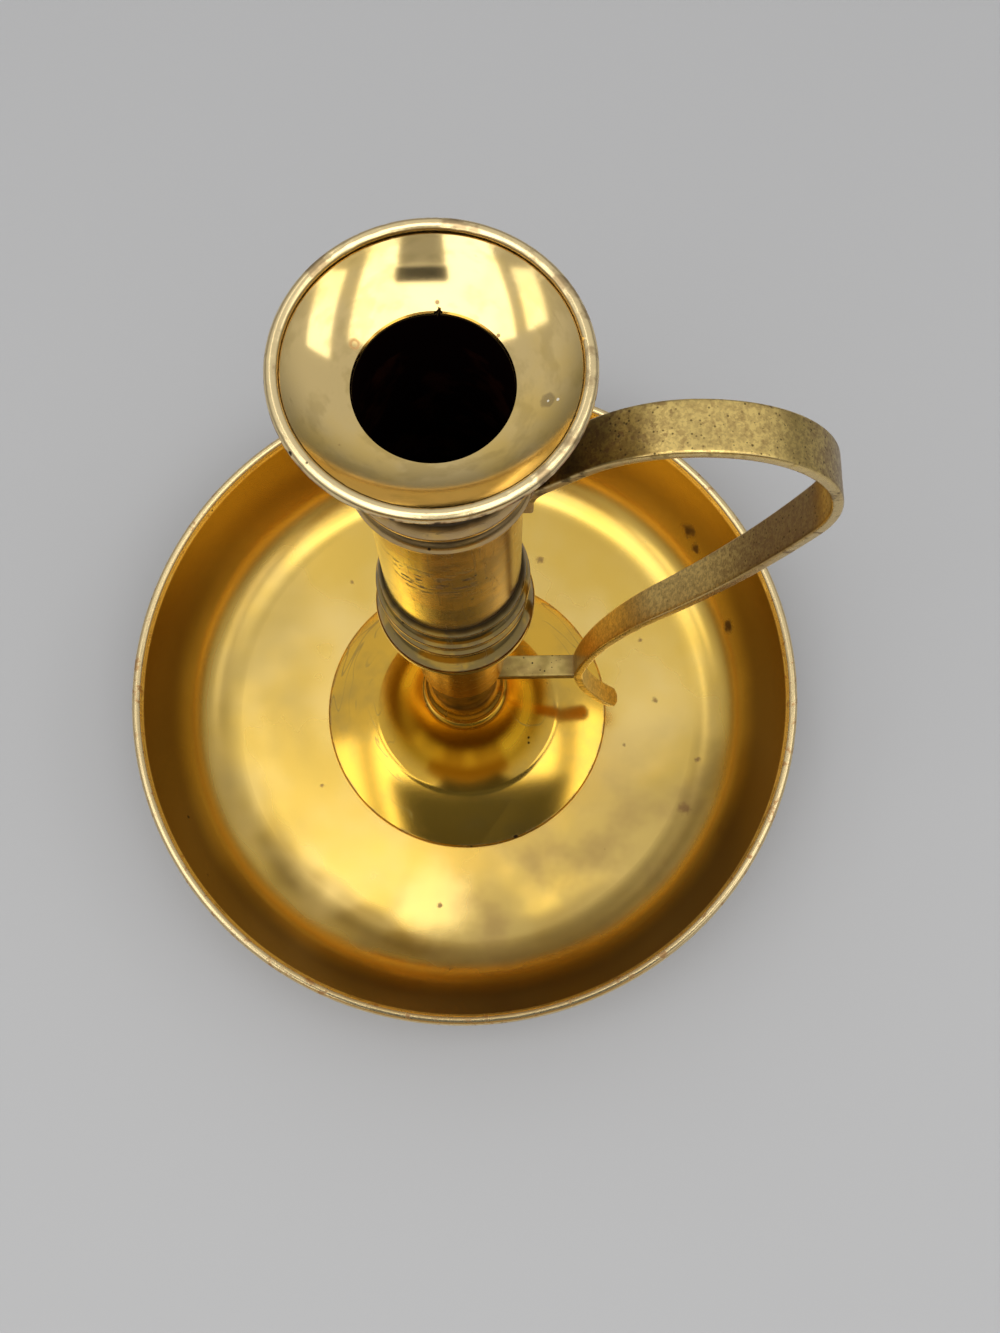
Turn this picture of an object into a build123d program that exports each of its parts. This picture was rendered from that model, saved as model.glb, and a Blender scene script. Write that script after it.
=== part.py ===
"""Brass chamberstick: a turned candlestick on a wide drip pan, with a strap handle for one finger.

The origin is on the stem's axis, on the surface that the pan stands on. +Z is up, and the
handle lies towards +X, in the XZ plane. All lengths are in millimetres.
"""
import os
from math import cos, hypot, radians, sin, sqrt

from build123d import *

os.makedirs("parts", exist_ok=True)

# Driving dimensions: the candle, the pan and the heights of the stacked column
candle_bore_radius = 11.0
pan_radius = 78.3
pan_height = 28.1
foot_height = 20.4
lower_stem_length = 63.0
knop_length = 11.6
ring_collar_length = 14.4
tube_exposed_length = 43.0
neck_collar_length = 11.0
nozzle_length = 22.5

# Clearances of the seats
seat_gap = 0.05
rod_gap = 0.2

# Drip pan: spun sheet with a turned bead at the rim and a raised boss under the stem
pan_sheet = 1.6
pan_corner_radius = 65.6
pan_bend_radius = 13.0
pan_bead_radius = 1.1
boss_radius = 12.5
boss_foot_radius = 17.0
boss_rise = 4.6
boss_top_bend = 1.0
boss_foot_bend = 2.4

# Tie rod with its washer and nut, in the hollow under the boss
rod_radius = 3.0
rod_thread_depth = 11.0
rod_ground_clearance = 0.5
washer_radius = 8.0
washer_thickness = 1.2
nut_across_flats = 10.0
nut_height = 2.6
nut_corner_chamfer = 0.5

# Foot of the stem: a hollow bell with a convex brim and a concave flare
foot_radius = 34.9
foot_edge = 1.3
foot_edge_round = 0.5
foot_brim_width = 9.9
foot_brim_rise = 3.2
foot_brim_crown = 0.55
foot_throat_radius = 8.6
foot_throat_drop = 1.64
foot_wall = 1.8
foot_land_width = 3.4
foot_top_wall = 2.6
foot_neck_radius = 9.6

# Lower stem: two rings, a waist and a long collar under the knop
base_bead_radius = 10.4
base_bead_height = 3.0
base_bead_crown = 0.7
stem_bead_radius = 9.5
stem_bead_height = 3.6
stem_bead_crown = 0.9
waist_radius = 7.4
waist_cove_height = 4.5
waist_length = 13.5
waist_flare_height = 3.2
waist_flare_radius = 8.3
waist_lean = 45.0
stem_collar_radius = 9.3
stem_collar_top_radius = 9.7

# Knop: one bold bead that carries the ring collar
knop_radius = 15.3
knop_bottom_radius = 9.9
knop_top_radius = 12.5
knop_crest_height = 5.6

# Ring collar: three fine beads and the plug that closes the candle socket
collar_groove_radius = 12.6
collar_lower_radius = 14.1
collar_lower_height = 5.2
collar_middle_radius = 14.3
collar_middle_height = 5.2
collar_upper_radius = 13.5
collar_upper_height = 3.6
plug_height = 10.0

# Socket tube, neck collar and nozzle
tube_wall = 1.5
tube_foot_recess = 0.4
neck_lower_radius = 14.7
neck_lower_height = 3.4
neck_groove_radius = 13.6
neck_groove_height = 1.2
neck_upper_radius = 14.7
neck_upper_height = 5.6
nozzle_socket_depth = 7.0
nozzle_skirt_radius = 13.4
lip_radius = 21.85
lip_bead_radius = 1.05
funnel_depth = 6.7
funnel_sag = 0.5

# Handle strap, bent on edge radii that follow one another from the tube to the curl
strap_thickness = 2.0
strap_root_width = 6.8
strap_crown_width = 8.6
strap_run_width = 7.0
strap_stay_width = 5.0
strap_tip_width = 4.6
strap_tip_corner = 1.3
root_drop = 10.0
root_foot_length = 2.5
root_bend_radius = 8.4
root_bend_angle = 41.1
rise_length = 9.0
crown_bend_radius = 19.9
bow_bend_radius = 23.8
bow_bend_overturn = 17.9
run_bend_radius = 238.0
run_bend_angle = 12.2
lower_bend_radius = 106.0
lower_bend_angle = 25.9
stay_bend_radius = 16.6
stay_bend_angle = 10.1
curl_bend_radius = 66.0
curl_bend_angle = 27.1

# Stay: the short flat tie between the waist of the stem and the strap
stay_drop = 6.8
stay_thickness = 2.2

# Levels worked out from the stack
pan_floor_level = pan_sheet
boss_top_level = boss_rise + pan_sheet
foot_top_level = pan_floor_level + foot_height
lower_stem_top_level = foot_top_level + lower_stem_length
knop_top_level = lower_stem_top_level + knop_length
collar_top_level = knop_top_level + ring_collar_length
neck_bottom_level = collar_top_level + tube_exposed_length
neck_top_level = neck_bottom_level + neck_collar_length
tube_top_level = neck_top_level + nozzle_socket_depth
mouth_level = neck_top_level + nozzle_length
bore_edge_level = mouth_level - funnel_depth
tube_radius = candle_bore_radius + tube_wall
tube_foot_bore = candle_bore_radius + tube_foot_recess
plug_radius = tube_foot_bore - seat_gap
rod_hole_radius = rod_radius + rod_gap
thread_hole_radius = rod_radius + seat_gap
sleeve_radius = tube_radius + seat_gap

# Drip pan
bead_centre_radius = pan_radius - pan_bead_radius
bead_centre_level = pan_height - pan_bead_radius
wall_run = bead_centre_radius - pan_corner_radius
wall_rise = bead_centre_level - pan_floor_level
wall_length = hypot(wall_run, wall_rise)
wall_end = (
    bead_centre_radius - pan_sheet / 2 * wall_rise / wall_length,
    bead_centre_level + pan_sheet / 2 * wall_run / wall_length,
)

with BuildPart() as drip_pan:
    with BuildSketch(Plane.XZ):
        with BuildLine():
            FilletPolyline(
                (rod_hole_radius, boss_top_level),
                (boss_radius, boss_top_level),
                (boss_foot_radius, pan_floor_level),
                (pan_corner_radius, pan_floor_level),
                wall_end,
                radius=(boss_top_bend, boss_foot_bend, pan_bend_radius),
            )
            offset(amount=pan_sheet, side=Side.RIGHT, closed=True)
        make_face()
        with Locations((bead_centre_radius, bead_centre_level)):
            Circle(pan_bead_radius)
    revolve(axis=Axis.Z)
drip_pan.part.label = "drip_pan"

# Foot of the stem
brim_inner_radius = foot_radius - foot_brim_width
brim_inner_level = pan_floor_level + foot_edge + foot_brim_rise
throat_level = foot_top_level - foot_throat_drop
flare_run = brim_inner_radius - foot_throat_radius
flare_fall = throat_level - brim_inner_level
flare_radius = (flare_run**2 + flare_fall**2) / (2 * flare_run)
flare_centre_radius = foot_throat_radius + flare_radius
inner_flare_radius = flare_radius + foot_wall
inner_flare_share = inner_flare_radius / flare_radius
inner_flare_end = (
    flare_centre_radius + (brim_inner_radius - flare_centre_radius) * inner_flare_share,
    throat_level - flare_fall * inner_flare_share,
)
inner_top_level = foot_top_level - foot_top_wall
inner_flare_top = flare_centre_radius - sqrt(inner_flare_radius**2 - (throat_level - inner_top_level) ** 2)
brim_middle = (
    (foot_radius + brim_inner_radius) / 2,
    (brim_inner_level + pan_floor_level + foot_edge) / 2 + foot_brim_crown,
)

with BuildPart() as stem_foot:
    with BuildSketch(Plane.XZ):
        with BuildLine():
            Polyline(
                (rod_hole_radius, inner_top_level),
                (rod_hole_radius, foot_top_level),
                (foot_neck_radius, foot_top_level),
                (foot_throat_radius, throat_level),
            )
            TangentArc(
                (foot_throat_radius, throat_level),
                (brim_inner_radius, brim_inner_level),
                tangent=(0, -1),
            )
            ThreePointArc(
                (brim_inner_radius, brim_inner_level),
                brim_middle,
                (foot_radius, pan_floor_level + foot_edge),
            )
            Polyline(
                (foot_radius, pan_floor_level + foot_edge),
                (foot_radius, pan_floor_level),
                (foot_radius - foot_land_width, pan_floor_level),
                inner_flare_end,
            )
            RadiusArc(inner_flare_end, (inner_flare_top, inner_top_level), inner_flare_radius)
            Line((inner_flare_top, inner_top_level), (rod_hole_radius, inner_top_level))
        make_face()
    revolve(axis=Axis.Z)
    brim_edges = stem_foot.edges().filter_by(GeomType.CIRCLE).group_by(SortBy.RADIUS)[-1]
    fillet(brim_edges.sort_by(Axis.Z)[-1], radius=foot_edge_round)
stem_foot.part.label = "stem_foot"

# Lower stem
base_bead_top = foot_top_level + base_bead_height
stem_bead_top = base_bead_top + stem_bead_height
cove_top = stem_bead_top + waist_cove_height
waist_top = cove_top + waist_length
collar_lip_level = waist_top + waist_flare_height
cove_start = (-cos(radians(waist_lean)), sin(radians(waist_lean)))
flare_end = (cos(radians(waist_lean)), sin(radians(waist_lean)))

with BuildPart() as lower_stem:
    with BuildSketch(Plane.XZ):
        with BuildLine():
            Polyline(
                (rod_hole_radius, lower_stem_top_level),
                (rod_hole_radius, foot_top_level),
                (base_bead_radius - base_bead_crown, foot_top_level),
            )
            ThreePointArc(
                (base_bead_radius - base_bead_crown, foot_top_level),
                (base_bead_radius, foot_top_level + base_bead_height / 2),
                (stem_bead_radius - stem_bead_crown, base_bead_top),
            )
            ThreePointArc(
                (stem_bead_radius - stem_bead_crown, base_bead_top),
                (stem_bead_radius, base_bead_top + stem_bead_height / 2),
                (stem_bead_radius - stem_bead_crown, stem_bead_top),
            )
            Spline(
                (stem_bead_radius - stem_bead_crown, stem_bead_top),
                (waist_radius, cove_top),
                tangents=(cove_start, (0, 1)),
            )
            Line((waist_radius, cove_top), (waist_radius, waist_top))
            Spline(
                (waist_radius, waist_top),
                (waist_flare_radius, collar_lip_level),
                tangents=((0, 1), flare_end),
            )
            Polyline(
                (waist_flare_radius, collar_lip_level),
                (stem_collar_radius, collar_lip_level),
                (stem_collar_top_radius, lower_stem_top_level),
                (rod_hole_radius, lower_stem_top_level),
            )
        make_face()
    revolve(axis=Axis.Z)
lower_stem.part.label = "lower_stem"

# Knop
with BuildPart() as knop:
    with BuildSketch(Plane.XZ):
        with BuildLine():
            ThreePointArc(
                (knop_bottom_radius, lower_stem_top_level),
                (knop_radius, lower_stem_top_level + knop_crest_height),
                (knop_top_radius, knop_top_level),
            )
            Polyline(
                (knop_top_radius, knop_top_level),
                (rod_hole_radius, knop_top_level),
                (rod_hole_radius, lower_stem_top_level),
                (knop_bottom_radius, lower_stem_top_level),
            )
        make_face()
    revolve(axis=Axis.Z)
knop.part.label = "knop"

# Ring collar: its beads, the plug in the foot of the tube and the thread for the tie rod
collar_beads = (
    (collar_lower_radius, collar_lower_height),
    (collar_middle_radius, collar_middle_height),
    (collar_upper_radius, collar_upper_height),
)
thread_top_level = knop_top_level + rod_thread_depth
plug_top_level = collar_top_level + plug_height

with BuildPart() as ring_collar:
    with BuildSketch(Plane.XZ):
        with BuildLine():
            bead_level = knop_top_level
            for bead_radius, bead_height in collar_beads:
                ThreePointArc(
                    (collar_groove_radius, bead_level),
                    (bead_radius, bead_level + bead_height / 2),
                    (collar_groove_radius, bead_level + bead_height),
                )
                bead_level += bead_height
            Polyline(
                (collar_groove_radius, bead_level),
                (collar_groove_radius, collar_top_level),
                (plug_radius, collar_top_level),
                (plug_radius, plug_top_level),
                (0, plug_top_level),
                (0, thread_top_level),
                (thread_hole_radius, thread_top_level),
                (thread_hole_radius, knop_top_level),
                (collar_groove_radius, knop_top_level),
            )
        make_face()
    revolve(axis=Axis.Z)
ring_collar.part.label = "ring_collar"

# Socket tube: its foot is bored out a little wider, so that it sits over the plug
with BuildPart() as socket_tube:
    with BuildSketch(Plane.XY.offset(collar_top_level)):
        Circle(tube_radius)
        Circle(candle_bore_radius, mode=Mode.SUBTRACT)
    extrude(amount=tube_top_level - collar_top_level)
    with BuildSketch(Plane.XY.offset(collar_top_level)):
        Circle(tube_foot_bore)
    extrude(amount=plug_height, mode=Mode.SUBTRACT)
socket_tube.part.label = "socket_tube"

# Neck collar: two rings on the tube, with a groove between them
neck_lower_top = neck_bottom_level + neck_lower_height
neck_groove_top = neck_lower_top + neck_groove_height
neck_upper_top = neck_groove_top + neck_upper_height

with BuildPart() as neck_collar:
    with BuildSketch(Plane.XZ):
        with BuildLine():
            ThreePointArc(
                (neck_groove_radius, neck_bottom_level),
                (neck_lower_radius, neck_bottom_level + neck_lower_height / 2),
                (neck_groove_radius, neck_lower_top),
            )
            Line((neck_groove_radius, neck_lower_top), (neck_groove_radius, neck_groove_top))
            ThreePointArc(
                (neck_groove_radius, neck_groove_top),
                (neck_upper_radius, neck_groove_top + neck_upper_height / 2),
                (neck_groove_radius, neck_upper_top),
            )
            Polyline(
                (neck_groove_radius, neck_upper_top),
                (neck_groove_radius, neck_top_level),
                (sleeve_radius, neck_top_level),
                (sleeve_radius, neck_bottom_level),
                (neck_groove_radius, neck_bottom_level),
            )
        make_face()
    revolve(axis=Axis.Z)
neck_collar.part.label = "neck_collar"

# Nozzle: trumpet outside, shallow funnel inside, with a rolled lip
lip_centre_radius = lip_radius - lip_bead_radius
lip_centre_level = mouth_level - lip_bead_radius
funnel_middle = (
    (lip_centre_radius + candle_bore_radius) / 2,
    (lip_centre_level + bore_edge_level) / 2 - funnel_sag,
)

with BuildPart() as nozzle:
    with BuildSketch(Plane.XZ):
        with BuildLine():
            TangentArc(
                (nozzle_skirt_radius, neck_top_level),
                (lip_centre_radius, lip_centre_level),
                tangent=(0, 1),
            )
            ThreePointArc(
                (lip_centre_radius, lip_centre_level),
                funnel_middle,
                (candle_bore_radius, bore_edge_level),
            )
            Polyline(
                (candle_bore_radius, bore_edge_level),
                (candle_bore_radius, tube_top_level),
                (sleeve_radius, tube_top_level),
                (sleeve_radius, neck_top_level),
                (nozzle_skirt_radius, neck_top_level),
            )
        make_face()
        with Locations((lip_centre_radius, lip_centre_level)):
            Circle(lip_bead_radius)
    revolve(axis=Axis.Z)
nozzle.part.label = "nozzle"

# Handle strap: its side profile follows the edge that lies on the right of the strap's path
root_level = neck_bottom_level - root_drop
root_inner_x = sqrt(tube_radius**2 - (strap_root_width / 2) ** 2)
root_outer_x = root_inner_x + strap_thickness
crown_angle = 90.0 - root_bend_angle
bow_angle = 90.0 + bow_bend_overturn
half_root_width = strap_root_width / 2
half_crown_width = strap_crown_width / 2
half_run_width = strap_run_width / 2
half_stay_width = strap_stay_width / 2
half_tip_width = strap_tip_width / 2
stay_bottom_level = waist_top - stay_drop

with BuildPart() as handle_strap:
    with BuildSketch(Plane.XZ.offset(-half_crown_width)):
        with BuildLine():
            foot_line = Line((root_outer_x, root_level), (root_outer_x, root_level + root_foot_length))
            root_bend = JernArc(foot_line @ 1, foot_line % 1, root_bend_radius, -root_bend_angle)
            rise = PolarLine(root_bend @ 1, rise_length, direction=root_bend % 1)
            crown = JernArc(rise @ 1, rise % 1, crown_bend_radius, -crown_angle)
            bow = JernArc(crown @ 1, crown % 1, bow_bend_radius, -bow_angle)
            run = JernArc(bow @ 1, bow % 1, run_bend_radius, -run_bend_angle)
            lower_run = JernArc(run @ 1, run % 1, lower_bend_radius, lower_bend_angle)
            stay_bend = JernArc(lower_run @ 1, lower_run % 1, stay_bend_radius, stay_bend_angle)
            curl = JernArc(stay_bend @ 1, stay_bend % 1, curl_bend_radius, curl_bend_angle)
            offset(amount=strap_thickness, side=Side.LEFT, closed=True)
        make_face()
    extrude(amount=strap_crown_width)
    crown_x = (crown @ 1).X
    run_level = (run @ 1).Y
    tip_level = (curl @ 1).Y
    with BuildSketch(Plane.XY):
        with BuildLine():
            Spline((0, half_root_width), (crown_x, half_crown_width), tangents=((1, 0), (1, 0)))
            Polyline(
                (crown_x, half_crown_width),
                (pan_radius, half_crown_width),
                (pan_radius, 0),
                (0, 0),
                (0, half_root_width),
            )
        make_face()
        mirror(about=Plane.XZ)
    extrude(amount=mouth_level, mode=Mode.INTERSECT)
    with BuildSketch(Plane.YZ):
        with BuildLine():
            Spline(
                (half_crown_width, root_level),
                (half_run_width, run_level),
                (half_stay_width, stay_bottom_level),
                (half_tip_width, tip_level + strap_tip_corner),
                tangents=((0, -1), (0, -1)),
            )
            Polyline(
                (half_tip_width, tip_level + strap_tip_corner),
                (half_tip_width - strap_tip_corner, tip_level),
                (0, tip_level),
                (0, mouth_level),
                (half_crown_width, mouth_level),
                (half_crown_width, root_level),
            )
        make_face()
        mirror(about=Plane.YZ)
    extrude(amount=pan_radius, mode=Mode.INTERSECT)
    with BuildSketch(Plane.XY.offset(root_level)):
        Circle(sleeve_radius)
    extrude(amount=root_drop, mode=Mode.SUBTRACT)
handle_strap.part.label = "handle_strap"

# Stay: it is saddled on the waist of the stem and ends on the face of the strap
with BuildPart() as handle_stay:
    with BuildSketch(Plane.XZ.offset(-half_stay_width)):
        with Locations((0, stay_bottom_level)):
            Rectangle(pan_radius, stay_thickness, align=(Align.MIN, Align.MIN))
    extrude(amount=strap_stay_width)
    add(handle_strap.part, mode=Mode.SUBTRACT)
    add(handle_stay.solids().sort_by(Axis.X)[0], mode=Mode.REPLACE)
    with BuildSketch(Plane.XY.offset(stay_bottom_level)):
        Circle(waist_radius + seat_gap)
    extrude(amount=stay_thickness, mode=Mode.SUBTRACT)
handle_stay.part.label = "handle_stay"

# Tie rod, washer and nut
washer_level = boss_rise - washer_thickness
nut_level = washer_level - nut_height
nut_corner_radius = nut_across_flats / sqrt(3)

with BuildPart() as tie_rod:
    with BuildSketch(Plane.XY.offset(rod_ground_clearance)):
        Circle(rod_radius)
    extrude(amount=thread_top_level - rod_gap - rod_ground_clearance)
tie_rod.part.label = "tie_rod"

with BuildPart() as base_washer:
    with BuildSketch(Plane.XY.offset(washer_level)):
        Circle(washer_radius)
        Circle(rod_hole_radius, mode=Mode.SUBTRACT)
    extrude(amount=washer_thickness)
base_washer.part.label = "base_washer"

with BuildPart() as base_nut:
    with BuildSketch(Plane.XY.offset(nut_level)):
        RegularPolygon(nut_across_flats / 2, 6, major_radius=False)
        Circle(thread_hole_radius, mode=Mode.SUBTRACT)
    extrude(amount=nut_height)
    with BuildSketch(Plane.XZ):
        with BuildLine():
            Polyline(
                (0, nut_level),
                (nut_corner_radius - nut_corner_chamfer, nut_level),
                (nut_corner_radius, nut_level + nut_corner_chamfer),
                (nut_corner_radius, nut_level + nut_height),
                (0, nut_level + nut_height),
                close=True,
            )
        make_face()
    revolve(axis=Axis.Z, mode=Mode.INTERSECT)
base_nut.part.label = "base_nut"

for piece in (
    drip_pan,
    stem_foot,
    lower_stem,
    knop,
    ring_collar,
    socket_tube,
    neck_collar,
    nozzle,
    handle_strap,
    handle_stay,
    tie_rod,
    base_washer,
    base_nut,
):
    export_step(piece.part, f"parts/{piece.part.label}.step")
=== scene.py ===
"""Looks of a brass chamberstick: turned pieces on a spun drip pan, with a bent strap handle.

Every size is in metres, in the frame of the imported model. +Z is up and the handle lies towards +X.
"""
from math import asin, atan2, ceil, cos, pi, radians, sin, sqrt, tan

import bmesh
import bpy
from mathutils import Matrix, Vector, noise


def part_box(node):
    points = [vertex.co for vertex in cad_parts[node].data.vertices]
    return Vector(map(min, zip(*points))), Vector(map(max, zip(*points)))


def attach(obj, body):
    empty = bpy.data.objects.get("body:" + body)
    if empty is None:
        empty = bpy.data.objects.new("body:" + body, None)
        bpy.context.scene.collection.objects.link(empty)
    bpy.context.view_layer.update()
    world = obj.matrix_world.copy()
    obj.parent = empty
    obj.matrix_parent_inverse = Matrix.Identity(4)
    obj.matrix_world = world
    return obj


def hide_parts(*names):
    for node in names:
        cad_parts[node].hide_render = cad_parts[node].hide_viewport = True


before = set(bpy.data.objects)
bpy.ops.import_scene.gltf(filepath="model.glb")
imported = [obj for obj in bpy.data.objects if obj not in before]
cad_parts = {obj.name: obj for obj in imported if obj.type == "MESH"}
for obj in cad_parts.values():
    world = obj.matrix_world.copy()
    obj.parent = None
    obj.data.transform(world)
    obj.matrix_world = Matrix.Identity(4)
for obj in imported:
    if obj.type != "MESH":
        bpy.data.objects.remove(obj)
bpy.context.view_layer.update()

bl_info = {
    "name": "Chamberstick",
    "version": (1, 0, 0),
    "blender": (4, 5, 0),
    "location": "3D View > Sidebar > Chamberstick",
    "description": "Builds the looks of a brass chamberstick around its packed model",
    "category": "Object",
}

BODY = "root"
MICRON = 1e-6

# A turned piece is spun in a number of like sectors, each in this many steps
SECTORS = 16
SECTOR_STEPS = 24
SECTOR_ANGLE = 2 * pi / SECTORS
CREASE_ANGLE = radians(32)

# The strap's bends take steps of at most this angle
BEND_STEP = radians(5)

# Shares that place the middle of a curve between its ends: across, then up
COVE_SHARES = (0.76, 0.36)
FLARE_SHARES = (0.25, 0.6)
SHOULDER_SHARE = 0.2

# Knocks in the beaded rims: how closely they lie, the level of noise that makes one, how slowly the noise
# changes over the bead, and how many of its radii a vertex of the bead may lie from its centre
PAN_KNOCKS = 900
LIP_KNOCKS = 1300
KNOCK_LEVEL = 0.3
KNOCK_STRETCH = 0.2
BEAD_REACH = 1.02

# Stains and dots that the photograph shows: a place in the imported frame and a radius, in metres
PAN_STAINS = (
    (-0.0296, 0.0346, 0.0016, 0.0007), (-0.0363, -0.0188, 0.0016, 0.0007), (0.0393, -0.0096, 0.0016, 0.0006),
    (0.0538, -0.0258, 0.0016, 0.0022), (0.0444, 0.0178, 0.0016, 0.0008), (0.0475, 0.0019, 0.0016, 0.0010),
    (0.0575, -0.0137, 0.0016, 0.0011), (0.0192, 0.0399, 0.0016, 0.0012), (-0.0070, -0.0489, 0.0016, 0.0009),
    (0.0569, 0.0430, 0.0138, 0.0026), (0.0587, 0.0389, 0.0117, 0.0019), (0.0664, 0.0193, 0.0088, 0.0023),
    (-0.0045, -0.0646, 0.0036, 0.0009), (0.0218, -0.0626, 0.0045, 0.0008),
)
PAN_POLISHED = ((-0.0080, -0.0470, 0.0016, 0.0140),)
PAN_DOTS = ((0.0020, -0.0666, 0.0048, 0.0006), (0.0683, -0.0294, 0.0205, 0.0007))
FOOT_MARKS = ((0.0118, -0.0327, 0.0032, 0.0009), (0.0100, 0.0260, 0.0063, 0.0008))
MOUTH_RINGS = ((-0.0105, 0.0061, 0.1815, 0.0010),)
MOUTH_SPOTS = ((0.0151, -0.0033, 0.1830, 0.0013),)
MOUTH_DOTS = ((0.0152, -0.0034, 0.1830, 0.00022), (0.0165, -0.0036, 0.1837, 0.00028))

# Where the finishes and the painted light change: radii in the pan and the foot, a height, and lengths along
# the strap
SHADE_RADIUS = 0.0580
HIGHLIGHT_STREAK_RADIUS = 0.0640
AMBER_REFLECTION_RADIUS = 0.0215
HIGHLIGHT_RING_RADIUS = 0.0150
PIT_LEVEL = 0.135
CROWN_ALONG = 0.040
BOW_ALONG = 0.084
STAY_ALONG = 0.180

# The width of the rubbed lip, the place of the seam along it, and how far inside the waist its dirt is full
LIP_WIDTH = 0.00195
SEAM_INSET = 0.00192
WAIST_DIRT_DEPTH = 0.0002

# How much the pan's wall leans out for its height, and the painted notch narrows for its depth
WALL_LEAN = 0.467
NOTCH_SLANT = 0.35

# The camera's frame in mm, and the soft boxes: left, right, near and far edges, and which lamps they are
SENSOR_WIDTH = 36.0
PANEL_LEVEL = 1.1
PANELS = (
    ("front panel", -0.72, 0.62, -1.25, 0.12, "front"),
    ("left panel", -1.35, -0.9, -0.6, 0.1, "side"),
    ("rear left panel", -0.42, -0.29, 0.2, 0.9, "side"),
    ("right panel", 0.85, 1.3, -0.6, 0.35, "side"),
)
# Boards for the reflections: centre, size and shade. Some lean as the camera does
LEANING_CARDS = (
    ("camera back", (0.008, -0.172, 0.334), (0.075, 0.150, 0.008), (0.38, 0.38, 0.38)),
    ("camera front", (0.008, -0.080, 0.352), (0.078, 0.027, 0.012), (0.02, 0.02, 0.02)),
)
UPRIGHT_CARDS = (
    ("black flag", (0.020, -0.180, 0.200), (0.28, 0.250, 0.004), (0.01, 0.01, 0.01)),
    ("front board", (0.0, -0.60, 0.240), (1.0, 0.02, 0.40), (0.32, 0.20, 0.05)),
)
CARD_ROUND_SHARE = 0.4


def length(name, default, description):
    """A length in metres, as the sidebar shows it."""
    return bpy.props.FloatProperty(
        name=name, default=default, description=description, min=0.0, precision=5, unit="LENGTH"
    )


def angle(name, default, description):
    """An angle, given in degrees and kept in radians."""
    return bpy.props.FloatProperty(
        name=name, default=radians(default), description=description, min=0.0, unit="ROTATION"
    )


def coordinate(name, default, description):
    """One coordinate of a place, in metres."""
    return bpy.props.FloatProperty(
        name=name, default=default, description=description, precision=5, unit="LENGTH"
    )


def colour(name, default, description):
    """A linear colour."""
    return bpy.props.FloatVectorProperty(
        name=name, default=default, description=description, subtype="COLOR", size=3, min=0.0, max=1.0
    )


def low(node):
    """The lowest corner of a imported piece."""
    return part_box(node)[0]


def high(node):
    """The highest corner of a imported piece."""
    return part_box(node)[1]


class ChamberstickPan(bpy.types.PropertyGroup):
    """Sizes of the drip pan."""

    sheet: length("Sheet", 0.0016, "Thickness of the spun sheet")
    corner_radius: length("Corner radius", 0.0656, "Where the floor and the wall would meet")
    bend_radius: length("Bend radius", 0.013, "Inner radius of the bend from floor to wall")
    bead_radius: length("Bead radius", 0.0011, "Radius of the bead along the rim")
    boss_radius: length("Boss radius", 0.0125, "Radius of the top of the boss under the stem")
    boss_foot_radius: length("Boss foot radius", 0.017, "Radius of the foot of the boss")
    boss_rise: length("Boss rise", 0.0046, "Height of the boss over the floor")
    boss_top_bend: length("Boss top bend", 0.001, "Rounding of the top of the boss")
    boss_foot_bend: length("Boss foot bend", 0.0024, "Rounding of the foot of the boss")
    hole_radius: length("Hole radius", 0.0032, "Radius of the hole for the tie rod")
    nick_depth: length("Nick depth", 0.00006, "Depth of the knocks along the rim")


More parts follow.
